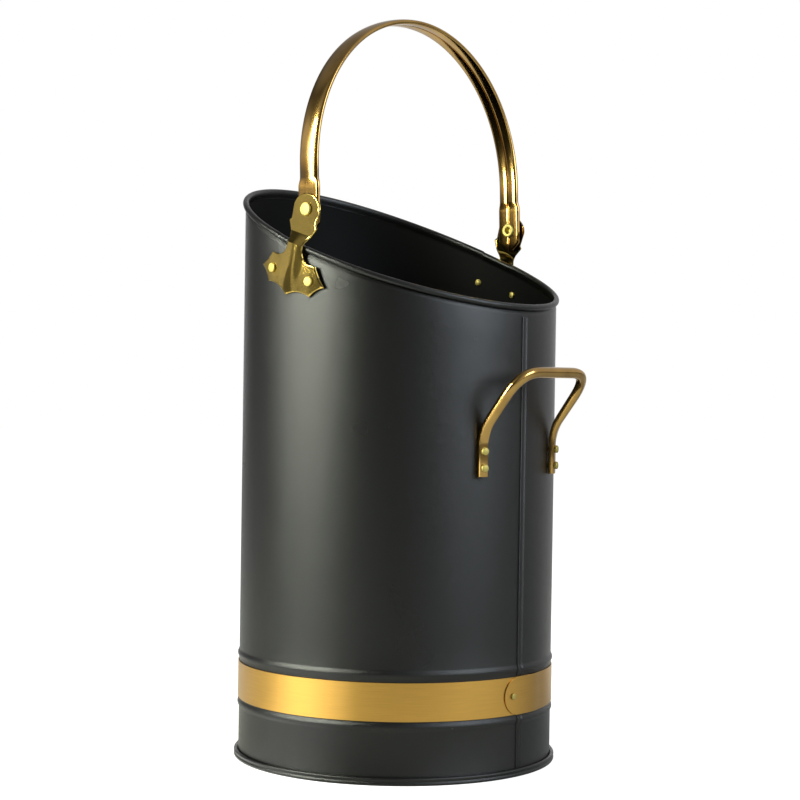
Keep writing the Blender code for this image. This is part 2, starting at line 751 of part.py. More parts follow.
def handle_section(share):
    """The handle's section: flat at the legs, nearly round along the bar."""
    half_width = (HANDLE_LEG_WIDTH + share * (HANDLE_BAR_WIDTH - HANDLE_LEG_WIDTH)) / 2
    half_depth = (HANDLE_LEG_DEPTH + share * (HANDLE_BAR_DEPTH - HANDLE_LEG_DEPTH)) / 2
    points = []
    for index in range(HANDLE_SECTION_POINTS):
        turn = 2 * pi * (index + 0.5) / HANDLE_SECTION_POINTS
        size = (abs(cos(turn)) ** HANDLE_SECTION_POWER
                + abs(sin(turn)) ** HANDLE_SECTION_POWER) ** (-1 / HANDLE_SECTION_POWER)
        points.append((half_width * size * cos(turn), half_depth * size * sin(turn)))
    return points


def handle_rings():
    """Sections along half the handle, carried on from the leg without twist."""
    path = handle_path()
    outward = Vector((sin(HANDLE_LEG_TURN), cos(HANDLE_LEG_TURN), 0))
    rings = []
    for index, middle in enumerate(path):
        before = path[max(index - 1, 0)]
        after = path[min(index + 1, len(path) - 1)]
        along = (after - before).normalized()
        if index == len(path) - 1:
            along = Vector((-1, 0, 0))
        outward = (outward - outward.dot(along) * along).normalized()
        across = along.cross(outward)
        share = smooth_step(path[1].z, HANDLE_BEND_HEIGHT + HANDLE_LOW_BEND, middle.z)
        rings.append([middle + across * wide + outward * deep
                      for wide, deep in handle_section(share)])
    return rings


def make_rear_handle(group, finish, cutter):
    """The fixed handle behind, which tips the hod."""
    shape = loft(handle_rings(), True, False)
    bmesh.ops.recalc_face_normals(shape, faces=shape.faces)
    handle = object_from_bmesh(shape, "rear_handle", group, finish)
    handle.rotation_euler.z = HANDLE_TURN
    add_mirror(handle)
    add_boolean(handle, cutter, "DIFFERENCE")
    smooth(handle)


def outlined(shares, diameter, base, rise):
    """Profile points of a turned feature that stands by its rise from its base height."""
    return [(out * diameter / 2, base + up * rise) for out, up in shares]


def make_wall_rivet(name, turn, height, head_seat, sizes, group, finish):
    """A rivet through the wall, whose head rests at the given distance from the axis."""
    head, rise, shank = sizes
    grip = head_seat - WALL_FLAT_INSIDE + SEAT_GAP
    profile = (outlined(HEAD_OUTLINE_SHARES, head, 0, rise)
               + [(shank / 2, 0), (shank / 2, -grip)]
               + outlined(TAIL_OUTLINE_SHARES, shank * TAIL_SHARE, -grip, -shank * TAIL_RISE_SHARE))
    rivet = turned(name, profile, RIVET_SIDES, group, finish)
    rivet.matrix_world = radial_frame(turn, head_seat, height)
    smooth(rivet)


def make_pivot_rivet(name, side, group, finish):
    """The pivot of the bail, clinched to a cup on the inside of its leg."""
    head_seat = EAR_HEAD_SEAT + EAR_SHEET + SEAT_GAP
    clinch_seat = BAIL_LEG_SEAT - BAIL_END_THICKNESS - SEAT_GAP
    grip = head_seat - clinch_seat
    foot = -grip - PIVOT_CLINCH_RISE
    profile = (outlined(PIVOT_HEAD_OUTLINE_SHARES, PIVOT_HEAD, 0, PIVOT_RISE)
               + [(PIVOT_SHANK / 2, 0), (PIVOT_SHANK / 2, -grip)]
               + outlined(CLINCH_OUTLINE_SHARES, PIVOT_CLINCH, -grip, -PIVOT_CLINCH_RISE)
               + [(PIVOT_SHANK / 2, -grip - CUP_MOUTH_SHARE * PIVOT_CLINCH_RISE),
                  (PIVOT_SHANK / 2 - PIVOT_CUP_WALL, foot + CUP_FLOOR_SHARE * PIVOT_CUP_DEPTH),
                  (0, foot + PIVOT_CUP_DEPTH)])
    rivet = turned(name, profile, PIVOT_SIDES, group, finish)
    turn = Matrix.Rotation(side * pi / 2, 4, "Y")
    rivet.matrix_world = Matrix.Translation((side * head_seat, PIVOT_Y, PIVOT_Z)) @ turn
    smooth(rivet)


def ear_rivet_places():
    """Name, side, angle and height of each rivet that holds an ear."""
    places = []
    for side, label in ((1, "right"), (-1, "left")):
        for way, end in ((-1, "front"), (1, "rear")):
            across = way * EAR_RIVET_SPACING / 2
            turn = (EAR_ARC + across * cos(EAR_TILT)) / EAR_SEAT
            if side < 0:
                turn = pi - turn
            height = EAR_RIVET_HEIGHT - across * sin(EAR_TILT)
            places.append((f"ear_rivet_{label}_{end}", turn, height))
    return places


def handle_rivet_places():
    """Name, angle and height of each rivet that holds the rear handle."""
    places = []
    for side, label in ((1, "right"), (-1, "left")):
        turn = pi / 2 + HANDLE_TURN - side * HANDLE_LEG_TURN
        for row, end in ((0, "lower"), (1, "upper")):
            height = HANDLE_FOOT_HEIGHT + HANDLE_RIVET_EDGE + row * HANDLE_RIVET_SPACING
            places.append((f"handle_rivet_{label}_{end}", turn, height))
    return places


def radial_bores(places, shank, radius):
    """Bores for rivets through the wall at the given places."""
    diameter = shank + 2 * SHANK_CLEARANCE
    length = 2 * CUT_OVERRUN
    return [(radial_frame(turn, radius, height), diameter, length, RIVET_SIDES)
            for _, turn, height in places]


def make_rivets(group, finish):
    """Every rivet on the hod."""
    ear_sizes = (EAR_RIVET_HEAD, EAR_RIVET_RISE, EAR_SHANK)
    ear_seat = EAR_SEAT + ear_lean(0) + EAR_SHEET + SEAT_GAP
    for name, turn, height in ear_rivet_places():
        make_wall_rivet(name, turn, height, ear_seat, ear_sizes, group, finish)
    handle_sizes = (HANDLE_RIVET_HEAD, HANDLE_RIVET_RISE, HANDLE_SHANK)
    handle_seat = HANDLE_LEG_SEAT + HANDLE_LEG_DEPTH + SEAT_GAP
    for name, turn, height in handle_rivet_places():
        make_wall_rivet(name, turn, height, handle_seat, handle_sizes, group, finish)
    band_sizes = (BAND_RIVET_HEAD, BAND_RIVET_RISE, BAND_SHANK)
    band_seat = BAND_LAP_SEAT + BAND_THICKNESS + SEAT_GAP
    make_wall_rivet("band_rivet", band_rivet_turn(), BAND_BOTTOM + BAND_WIDTH / 2, band_seat,
                    band_sizes, group, finish)
    make_pivot_rivet("pivot_rivet_right", 1, group, finish)
    make_pivot_rivet("pivot_rivet_left", -1, group, finish)


def band_rivet_turn():
    """Angle of the band's rivet from +X toward +Y."""
    return pi / 2 - BAND_RIVET_ARC / BAND_SEAT


def main():
    """Build the whole hod."""
    for item in list(bpy.data.objects):
        bpy.data.objects.remove(item)
    model = new_collection(MODEL_NAME)
    tools = new_collection(MODEL_NAME + "_tools")
    paint = new_material("black_painted_steel", (0.024, 0.024, 0.021), 0.45, 0.0)
    wire = new_material("drawn_steel_wire", (0.30, 0.30, 0.30), 0.40, 1.0)
    strip = new_material("brushed_brass_strip", (0.58, 0.37, 0.10), 0.38, 1.0)
    brass = new_material("lacquered_brass", (0.42, 0.27, 0.08), 0.24, 1.0)
    rivet_brass = new_material("bright_brass", (0.80, 0.68, 0.22), 0.30, 1.0)

    handle_bores = radial_bores(handle_rivet_places(), HANDLE_SHANK, HANDLE_LEG_CENTRE)
    ear_bores = radial_bores(ear_rivet_places(), EAR_SHANK, WALL_MIDDLE)
    band_place = [("band", band_rivet_turn(), BAND_BOTTOM + BAND_WIDTH / 2)]
    band_bores = radial_bores(band_place, BAND_SHANK, WALL_MIDDLE)
    wall_cutter = bore_cutter("wall_bores", handle_bores + ear_bores + band_bores, tools)
    handle_cutter = bore_cutter("handle_bores", handle_bores, tools)
    band_cutter = bore_cutter("band_bore", band_bores, tools)

    make_body_shell(model, tools, paint, wall_cutter)
    make_rim_wire(model, wire)
    make_base_pan(model, paint)
    make_brass_band(model, strip, band_cutter)
    make_ear("ear_right", 1, model, tools, brass)
    make_ear("ear_left", -1, model, tools, brass)
    make_bail(model, tools, brass)
    make_rear_handle(model, brass, handle_cutter)
    make_rivets(model, rivet_brass)


main()
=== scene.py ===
"""Looks of a log carrier: a tall hod of black painted sheet steel with brass fittings.

Lengths are in metres, in the frame of the packed model: +Z is up, the pouring lip faces -Y, the
rear handle +Y, and the bail's ears stand at +X and -X.
"""

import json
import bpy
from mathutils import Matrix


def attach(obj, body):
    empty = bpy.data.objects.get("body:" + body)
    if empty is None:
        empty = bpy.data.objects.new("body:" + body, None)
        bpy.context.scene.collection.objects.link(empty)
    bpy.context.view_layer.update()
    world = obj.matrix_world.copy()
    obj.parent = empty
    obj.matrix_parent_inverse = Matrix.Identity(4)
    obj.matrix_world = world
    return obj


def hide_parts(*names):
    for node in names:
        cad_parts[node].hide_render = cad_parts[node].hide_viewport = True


bl_info = {
    "name": "Log Carrier",
    "version": (1, 0, 0),
    "blender": (4, 5, 0),
    "location": "View3D > Sidebar > Log Carrier",
    "description": "Models a tall painted steel hod with a brass bail, and the studio it stands in",
    "category": "Add Mesh",
}

from math import asin, atan2, cos, pi, radians, sin

import bmesh
import bpy
from bpy.props import FloatProperty, FloatVectorProperty, PointerProperty
from bpy.types import Operator, Panel, PropertyGroup
from mathutils import Euler, Matrix, Vector

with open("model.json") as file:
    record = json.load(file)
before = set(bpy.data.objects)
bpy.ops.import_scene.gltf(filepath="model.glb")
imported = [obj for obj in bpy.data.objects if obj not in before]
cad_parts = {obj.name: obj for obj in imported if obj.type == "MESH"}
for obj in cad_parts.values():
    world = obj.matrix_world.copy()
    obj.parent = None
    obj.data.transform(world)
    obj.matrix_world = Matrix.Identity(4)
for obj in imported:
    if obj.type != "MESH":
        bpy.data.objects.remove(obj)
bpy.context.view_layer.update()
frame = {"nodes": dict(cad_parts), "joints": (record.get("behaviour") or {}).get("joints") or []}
PIVOT = Vector(frame["joints"][0]["pos_m"])

MILLIMETRE = 0.001

# The two sides: direction along X and name
SIDES = ((1, "right"), (-1, "left"))

# Fineness of the meshes
WALL_SIDES = 216
WALL_ROWS = 14
CURL_STEPS = 18
BEAD_STEPS = 12
SEAM_BEAD_STEPS = 8
SET_IN_STEPS = 6
GROOVE_STEPS = 6
CORNER_STEPS = 4
BAND_TIP_STEPS = 16
BAIL_STEP_STEPS = 8
BAIL_ARCH_STEPS = 64
HANDLE_BEND_STEPS = 12
HANDLE_SECTION_POINTS = 28
RIVET_SIDES = 40
EAR_CELL = 0.0013

# The curl's sweep, the flange's reach as a share of the foot's, half the angle over which the
# curl steps in under an ear, with the mesh's columns just inside it, and a strap's eased edges
CURL_SWEEP = radians(275)
FLANGE_REACH_SHARE = 0.38
CRIMP_FADE = 0.0036
CRIMP_COLUMN = 0.0035
STRAP_EASING = 0.0005

# The band's rounded end stops just short of a quarter turn, so that it keeps a narrow face
BAND_TIP_SWEEP = radians(88)

# Faces of the wall that look inward at least this much are inside
INWARD_SHARE = 0.3


def linear(code):
    """The linear colour of an sRGB hex code."""
    channels = [int(code[place:place + 2], 16) / 255 for place in (1, 3, 5)]
    return [c / 12.92 if c <= 0.04045 else ((c + 0.055) / 1.055) ** 2.4 for c in channels]


def length(name, description, default):
    """A length that a user can change."""
    return FloatProperty(name=name, description=description, default=default, unit="LENGTH",
                         precision=4)


def angle(name, description, degrees):
    """An angle that a user can change."""
    return FloatProperty(name=name, description=description, default=radians(degrees),
                         unit="ROTATION")


def colour(name, description, code):
    """A colour that a user can change."""
    return FloatVectorProperty(name=name, description=description, default=linear(code),
                               subtype="COLOR", min=0, max=1, size=3)


class HodWallSizes(PropertyGroup):
    """Sizes of the painted steel body."""

    radius: length("Radius", "Outside of the wall", 0.125)
    sheet: length("Sheet", "Thickness of the steel", 0.0008)
    gap: length("Gap", "Clearance between two pieces that lie together", 0.0003)
    side_height: length("Side height", "Height of the rolled edge at the ears", 0.4038)
    front_rise: length("Front rise", "How far the lip stands above the sides", 0.0535)
    rear_fall: length("Rear fall", "How far the rear edge lies below the sides", 0.0459)
    wire: length("Wire", "Diameter of the wire in the rolled edge", 0.0026)
    curl_proud: length("Curl", "How far the rolled edge stands out from the wall", 0.0022)
    set_in: length("Set-in", "Depth of the step under the rolled edge", 0.0066)
    crimp: length("Crimp", "How far the rolled edge is pressed in under each ear", 0.0005)
    crimp_half: length("Crimp half length", "Half of the pressed stretch under each ear", 0.0145)
    bead_height: length("Bead height", "How far a bead stands out from the wall", 0.0012)
    bead_half: length("Bead half width", "Half the width of a bead", 0.0040)
    upper_bead_gap: length("Upper bead gap", "From the band up to its bead", 0.0016)
    lower_bead_gap: length("Lower bead gap", "From the band down to its bead", 0.0002)
    seam_width: length("Seam width", "Width of the lengthwise seam", 0.0068)
    seam_proud: length("Seam", "How far the seam stands out from the wall", 0.0010)
    seam_turn: angle("Seam turn", "From the middle of the rear toward +X", -0.6)


class HodFootSizes(PropertyGroup):
    """Sizes of the base plate and the ring that its edge makes."""

    proud: length("Proud", "How far the ring stands out from the wall", 0.0034)
    height: length("Height", "Height of the ring", 0.0062)
    groove: length("Groove", "Depth of the groove round the ring", 0.0007)
    corner: length("Corner", "Radius of the ring's edges", 0.0011)
    recess: length("Recess", "How far the plate is set up from the floor", 0.0026)


class HodBandSizes(PropertyGroup):
    """Sizes of the brass band."""

    bottom: length("Bottom", "Height of the band's lower edge", 0.0473)
    width: length("Width", "Height of the band", 0.0290)
    thickness: length("Thickness", "Thickness of the strip", 0.0006)
    inner_end: angle("Inner end", "Where the strip begins, from +Y toward +X", -7.0)
    outer_end: angle("Outer end", "Where its rounded end lies, from +Y toward +X", 7.5)
    step: angle("Step", "Length of the step up over the strip's beginning", 7.0)
    step_margin: angle("Step margin", "From that step to the strip's beginning", 1.5)
    rivet_arc: length("Rivet", "From the middle of the rear to the rivet", 0.0076)


class HodEarSizes(PropertyGroup):
    """Sizes of the two stamped ears."""

    sheet: length("Sheet", "Thickness of the brass", 0.0014)
    drop: length("Drop", "From the rolled edge down to the rivets' line", 0.0242)
    shift: length("Shift", "From the middle of the side to the ear's middle line", -0.0003)
    tilt: angle("Tilt", "Slant of the ear, square to the mouth", 17.0)
    half_span: length("Half span", "Half the width over the wings", 0.0340)
    pivot_rise: length("Pivot rise", "From the rolled edge up to the pivot", 0.0246)
    rivet_spacing: length("Rivet spacing", "Between the two rivets", 0.0390)
    head_half: length("Head half width", "Half the width of the round head", 0.0138)
    head_rise: length("Head rise", "From the pivot to the top of the head", 0.0120)
    lean: length("Lean", "How far the ear stands off the wall where it crosses the rim", 0.0031)
    rib_rise: length("Rib rise", "Height of the pressed rib", 0.0010)
    rib_half: length("Rib half width", "Half the width of the rib's crown", 0.0010)
    rib_flank: length("Rib flank", "Width of each of the rib's flanks", 0.0100)
    rib_toe: length("Rib toe", "Length over which the rib rises at its foot", 0.0240)


class HodBailSizes(PropertyGroup):
    """Sizes of the swinging bail."""

    leg_inset: length("Leg inset", "From the wall's outside in to a leg's outside", 0.0011)
    arch_inset: length("Arch inset", "From the wall's outside in to the arch's", 0.0005)
    arch_rise: length("Arch rise", "From the pivot up to the arch's centre", 0.0350)
    strap_width: length("Strap width", "Width of the folded strap", 0.0184)
    strap_thickness: length("Strap thickness", "Thickness of the folded strap", 0.0045)
    end_width: length("End width", "Width of a pressed end", 0.0212)
    end_thickness: length("End thickness", "Thickness of a pressed end", 0.0032)
    rim_gap: length("Rim gap", "From the rolled edge up to the end of a leg", 0.0052)
    chamfer: length("Chamfer", "Size of a leg's cut corners", 0.0066)
    flat_length: length("Flat length", "From the pivot up to the pressed step", 0.0175)
    step_length: length("Step length", "Length of the pressed step", 0.0070)
    bore: length("Bore", "Diameter of the hole for the pivot", 0.0066)
    lean: angle("Lean", "How far the bail leans toward the lip", 2.0)


class HodHandleSizes(PropertyGroup):
    """Sizes of the fixed handle behind."""

    turn: angle("Turn", "From the middle of the rear toward -X", 1.4)
    leg_spread: length("Leg spread", "From the middle to each leg", 0.0448)
    bar_drop: length("Bar drop", "From the rear edge down to the bar", 0.0494)
    height: length("Height", "From the foot of a leg up to the bar", 0.0790)
    neck: length("Neck", "From the upper rivet up to the start of the bend", 0.0034)
    bar_reach: length("Bar reach", "From the wall out to the bar", 0.0288)
    bar_half: length("Bar half length", "From the middle to the bar's corner", 0.0443)
    bar_width: length("Bar width", "Height of the bar's section", 0.0080)
    bar_depth: length("Bar depth", "Depth of the bar's section", 0.0074)
    leg_width: length("Leg width", "Width of a flattened leg", 0.0080)
    leg_depth: length("Leg depth", "Thickness of a flattened leg", 0.0047)
    low_bend: length("Low bend", "Length of the bend above the rivets", 0.0230)
    top_bend: length("Top bend", "Size of the bend at the bar's corner", 0.0235)
    rivet_edge: length("Rivet edge", "From the foot up to the lower rivet", 0.0066)
    rivet_spacing: length("Rivet spacing", "Between the two rivets of a leg", 0.0127)


class HodRivetSizes(PropertyGroup):
    """Sizes of the rivets."""

    ear_shank: length("Ear shank", "Shank of an ear's rivets", 0.0036)
    ear_head: length("Ear head", "Head of an ear's rivets", 0.0075)
    ear_rise: length("Ear rise", "Height of those heads", 0.0015)
    handle_shank: length("Handle shank", "Shank of the rear handle's rivets", 0.0032)
    handle_head: length("Handle head", "Head of the rear handle's rivets", 0.0060)
    handle_rise: length("Handle rise", "Height of those heads", 0.0021)
    band_shank: length("Band shank", "Shank of the band's rivet", 0.0026)
    band_head: length("Band head", "Head of the band's rivet", 0.0050)
    band_rise: length("Band rise", "Height of that head", 0.0012)
    pivot_shank: length("Pivot shank", "Shank of a pivot", 0.0060)
    pivot_head: length("Pivot head", "Head of a pivot", 0.0105)
    pivot_rise: length("Pivot rise", "Height of that head", 0.0018)
    clinch: length("Clinch", "Diameter of a pivot's clinched end", 0.0115)
    clinch_rise: length("Clinch rise", "Height of that end", 0.0016)
    cup_wall: length("Cup wall", "Wall left round the cup in that end", 0.0008)
    cup_depth: length("Cup depth", "Depth of that cup", 0.0040)


class HodColours(PropertyGroup):
    """Colours of the finishes."""

    paint: colour("Paint", "Satin black paint", "#050605")
    paint_thin: colour("Thin paint", "Where the paint has gone thin or dusty", "#0c0d0a")
    inside: colour("Inside", "Flat black inside the hod", "#070706")
    band: colour("Band", "Brushed brass strip", "#dcab55")
    brass: colour("Brass", "Polished and lacquered brass", "#cba25a")
    brass_dark: colour("Aged brass", "Where the lacquer has aged", "#8f6d34")
    ear: colour("Ears", "Tumbled brass of the stamped ears", "#dab95a")
    ear_dark: colour("Aged ears", "Where the ears' lacquer has aged", "#9c8846")
    rivet: colour("Rivets", "Hammered brass of the rivets", "#bbac64")
    wire: colour("Wire", "Drawn steel wire", "#8b8b88")
    dust: colour("Dust", "Specks on the paint", "#8d8d86")
    floor: colour("Floor", "Studio floor and backdrop as seen", "#ffffff")
    floor_matt: colour("Matt floor", "Studio floor under the lamps", "#d0d0cc")


def smooth_step(low, high, value):
    """An even rise from 0 at low to 1 at high."""
    share = min(max((value - low) / (high - low), 0), 1)
    return share * share * (3 - 2 * share)


def shares(count, first=0):
    """Even shares from first / count up to 1."""
    return [step / count for step in range(first, count + 1)]


def blend(start, end, share):
    """A value on the way from start to end."""
    return start + (end - start) * share


def apply_modifier(piece, name, kind, **settings):
    """Add a modifier with its settings and apply it."""
    modifier = piece.modifiers.new(name, kind)
    for key, value in settings.items():
        setattr(modifier, key, value)
    bpy.context.view_layer.objects.active = piece
    bpy.ops.object.modifier_apply(modifier=name)


def current_shape(piece):
    """The bmesh of a piece in edit mode, with its points numbered."""
    shape = bmesh.from_edit_mesh(piece.data)
    shape.verts.index_update()
    shape.verts.ensure_lookup_table()
    return shape


def open_circle(name, points, fill_type="NOTHING"):
    """A circle with its points moved to an outline, left open in edit mode."""
    bpy.ops.object.select_all(action="DESELECT")
    bpy.ops.mesh.primitive_circle_add(vertices=len(points), fill_type=fill_type)
    piece = bpy.context.active_object
    piece.name = piece.data.name = name
    bpy.ops.object.mode_set(mode="EDIT")
    for vertex, point in zip(current_shape(piece).verts, points):
        vertex.co = point
    bmesh.update_edit_mesh(piece.data)
    return piece


def close_edit():
    """Leave edit mode with normals that face out."""
    bpy.ops.mesh.select_all(action="SELECT")
    bpy.ops.mesh.normals_make_consistent(inside=False)
    bpy.ops.object.mode_set(mode="OBJECT")


def lofted(name, rings, start="open", end="open"):
    """A circle extruded ring by ring, each moved to its outline, with open, flat or pole ends."""
    piece = open_circle(name, rings[0])
    ring = range(len(rings[0]))
    for outline in rings[1:]:
        bpy.ops.mesh.extrude_region_move()
        shape = current_shape(piece)
        ring = [twin(shape.verts[index]) for index in ring]
        for index, point in zip(ring, outline):
            shape.verts[index].co = point
    finish_end(end)
    bpy.ops.mesh.select_all(action="DESELECT")
    for edge in current_shape(piece).edges:
        if max(vertex.index for vertex in edge.verts) < len(rings[0]):
            edge.select_set(True)
    finish_end(start)
    close_edit()
    return piece


def twin(vertex):
    """The number of the selected point that an extrusion joined to this one."""
    return next(edge.other_vert(vertex).index for edge in vertex.link_edges
                if edge.other_vert(vertex).select)


def finish_end(kind):
    """Close the selected ring with a face or draw it into a point."""
    if kind == "flat":
        bpy.ops.mesh.edge_face_add()
    elif kind == "pole":
        bpy.ops.mesh.merge(type="CENTER")


def strap(name, half):
    """A strap through the sections of its half and their mirror images, with eased edges."""
    mirrored = [[Vector((-p.x, p.y, p.z)) for p in ring] for ring in reversed(half[:-1])]
    piece = lofted(name, half + mirrored, "flat", "flat")
    apply_modifier(piece, "Rounding", "BEVEL", width=STRAP_EASING, segments=2,
                   limit_method="ANGLE", angle_limit=radians(60), use_clamp_overlap=True)
    return piece


def thicken(piece, thickness, offset=0):
    """Give a surface the thickness of its sheet."""
    apply_modifier(piece, "Sheet", "SOLIDIFY", thickness=thickness, offset=offset,
                   use_even_offset=True)


def even_turns(count):
    """Angles spread evenly round a circle."""
    return [2 * pi * index / count for index in range(count)]


def circle_rings(profile, sides):
    """Rings round Z through a profile of (radius, height) points."""
    return [[Vector((radius * cos(turn), radius * sin(turn), height)) for turn in even_turns(sides)]
            for radius, height in profile]


def turned(name, profile, place):
    """A turned piece whose profile runs from pole to pole, moved to its place."""
    piece = lofted(name, circle_rings(profile, RIVET_SIDES), "pole", "pole")
    piece.data.transform(place)
    return piece


def finish_piece(piece, make, node, crease=40, body="root"):
    """Shade a piece, give it its finish, and let it ride and stand for its CAD node."""
    bpy.ops.object.select_all(action="DESELECT")
    piece.select_set(True)
    bpy.context.view_layer.objects.active = piece
    bpy.ops.object.shade_smooth_by_angle(angle=radians(crease))
    piece.data.materials.clear()
    piece.data.materials.append(finish(make))
    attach(piece, body)
    if node:
        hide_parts(node)


def fill_inputs(owner, node, *values, **named):
    """Fill a shader node's inputs, in order or by name. A node given for one is linked to it."""
    pairs = list(zip([socket for socket in node.inputs if socket.enabled], values))
    pairs += [(node.inputs[key.replace("_", " ")], value) for key, value in named.items()]
    for socket, value in pairs:
        if isinstance(value, bpy.types.Node):
            value = next(output for output in value.outputs if output.enabled)
        if isinstance(value, bpy.types.NodeSocket):
            owner.node_tree.links.new(value, socket)
        else:
            socket.default_value = (*value, 1) if socket.type == "RGBA" else value


def add_node(owner, kind, *values, **named):
    """Add a shader node. Names in lower case are its settings, and all else its inputs."""
    node = owner.node_tree.nodes.new("ShaderNode" + kind)
    for key in [key for key in named if key.islower()]:
        setattr(node, key, named.pop(key))
    fill_inputs(owner, node, *values, **named)
    return node


def new_finish(name):
    """A material with its shader and the coordinates that its pattern reads."""
    material = bpy.data.materials.new(name)
    material.use_nodes = True
    place = add_node(material, "TexCoord").outputs["Object"]
    return material, material.node_tree.nodes["Principled BSDF"], place


def per_millimetre(size):
    """Noise scale that gives a pattern of about this size in millimetres."""
    return 1 / (size * MILLIMETRE)


def satin_paint(colours):
    """Satin alkyd enamel sprayed on sheet steel: near-black, a soft broad sheen, faint orange
    peel and a dust speck here and there."""
    material, shader, place = new_finish("satin_black_enamel_on_steel")
    cloud = add_node(material, "TexNoise", place, per_millimetre(60), Detail=3.0)
    tint = add_node(material, "MapRange", cloud, 0.1, 0.95, 0.0, 0.25)
    base = add_node(material, "Mix", tint, colours.paint, colours.paint_thin, data_type="RGBA")
    speck = add_node(material, "TexVoronoi", place, per_millimetre(26))
    mask = add_node(material, "MapRange", speck, 0.012, 0.024, 0.35, 0.0)
    dusted = add_node(material, "Mix", mask, base, colours.dust, data_type="RGBA")
    gloss = add_node(material, "MapRange", cloud, 0.0, 1.0, 0.265, 0.295)
    peel = add_node(material, "TexNoise", place, per_millimetre(0.15), Detail=0.0)
    wave = add_node(material, "TexNoise", place, per_millimetre(45), Detail=1.0)
    broad = add_node(material, "Bump", Strength=0.05, Distance=0.0006, Height=wave)
    fine = add_node(material, "Bump", Strength=1.0, Distance=0.00007, Height=peel, Normal=broad)
    fill_inputs(material, shader, Base_Color=dusted, Roughness=gloss, Normal=fine, IOR=1.5)
    return material


def inside_paint(colours):
    """Thin coat of the same black inside, dry and flat: nearly no sheen, so the hod looks deep."""
    material, shader, place = new_finish("flat_black_primer_inside")
    dust = add_node(material, "TexNoise", place, per_millimetre(25), Detail=4.0)
    tint = add_node(material, "MapRange", dust, 0.45, 0.75, 0.0, 0.35)
    base = add_node(material, "Mix", tint, colours.inside, colours.paint, data_type="RGBA")
    grit = add_node(material, "TexNoise", place, per_millimetre(0.8), Detail=2.0)
    bump = add_node(material, "Bump", Strength=0.15, Distance=0.00005, Height=grit)
    fill_inputs(material, shader, Base_Color=base, Roughness=0.62, Normal=bump, IOR=1.45,
                Specular_IOR_Level=0.12)
    return material


def brushed_strip(colours):
    """Brass strip brushed lengthwise and lacquered: fine lines round the hod spread each light
    into an upright stripe. Real lines are too fine to show, so they are drawn coarser."""
    material, shader, place = new_finish("brushed_lacquered_brass_strip")
    parts = add_node(material, "SeparateXYZ", place)
    turn = add_node(material, "Math", parts.outputs["Y"], parts.outputs["X"], operation="ARCTAN2")
    along = add_node(material, "Math", turn, bpy.context.scene.hod_wall.radius,
                     operation="MULTIPLY")
    flat = add_node(material, "CombineXYZ", along, parts.outputs["Z"])
    stretched = add_node(material, "Mapping", flat, Scale=(0.02, 1.0, 1.0))
    lines = add_node(material, "TexNoise", stretched, per_millimetre(0.6), Detail=4.0,
                     Roughness=0.65)
    cloud = add_node(material, "TexNoise", flat, per_millimetre(40), Detail=2.0)
    tone = add_node(material, "MapRange", lines, 0.3, 0.7, 0.0, 0.22)
    base = add_node(material, "Mix", tone, colours.band, colours.brass_dark, data_type="RGBA")
    gloss = add_node(material, "MapRange", cloud, 0.3, 0.7, 0.31, 0.35)
    bump = add_node(material, "Bump", Strength=0.06, Distance=0.00004, Height=lines)
    grain = add_node(material, "Tangent", direction_type="RADIAL", axis="Z")
    fill_inputs(material, shader, Base_Color=base, Roughness=gloss, Normal=bump, Metallic=1.0,
                Anisotropic=0.35, Anisotropic_Rotation=0.25, Tangent=grain, Coat_Weight=0.15,
                Coat_Roughness=0.25)
    return material


def polished_brass(name, fresh, aged, flow, gloss_low, gloss_high, relief, toned=None):
    """Brass, buffed and lacquered: warm and glossy, with fine marks that follow the flow. Real
    marks are too fine to show, so they are drawn coarser."""
    material, shader, place = new_finish(name)
    cloud = add_node(material, "TexNoise", place, per_millimetre(18), Detail=4.0)
    age = add_node(material, "MapRange", cloud, 0.4, 0.72, 0.0, 0.5)
    base = add_node(material, "Mix", age, fresh, aged, data_type="RGBA")
    if toned:
        base = toned(material, place, base)
    marks = add_node(material, "TexNoise", flow(material, place), per_millimetre(0.6), Detail=3.0,
                     Roughness=0.6)
    gloss = add_node(material, "MapRange", marks, 0.3, 0.7, gloss_low, gloss_high)
    bump = add_node(material, "Bump", Strength=relief, Distance=0.00004, Height=marks)
    fill_inputs(material, shader, Base_Color=base, Roughness=gloss, Normal=bump, Metallic=1.0,
                Coat_Weight=0.35, Coat_Roughness=0.06)
    return material


# Painted shade on the bail's ends: how far up it reaches, how bright at shares of that, and its hue
PAINTED_SHADE_RISE = 0.040
PAINTED_SHADE_STEPS = ((0.02, 0.42), (0.38, 0.46), (0.47, 1.0), (0.53, 1.0), (0.60, 0.34), (0.70, 0.36),
                  (0.92, 0.9))
PAINTED_SHADE_HUE = (0.94, 0.85)


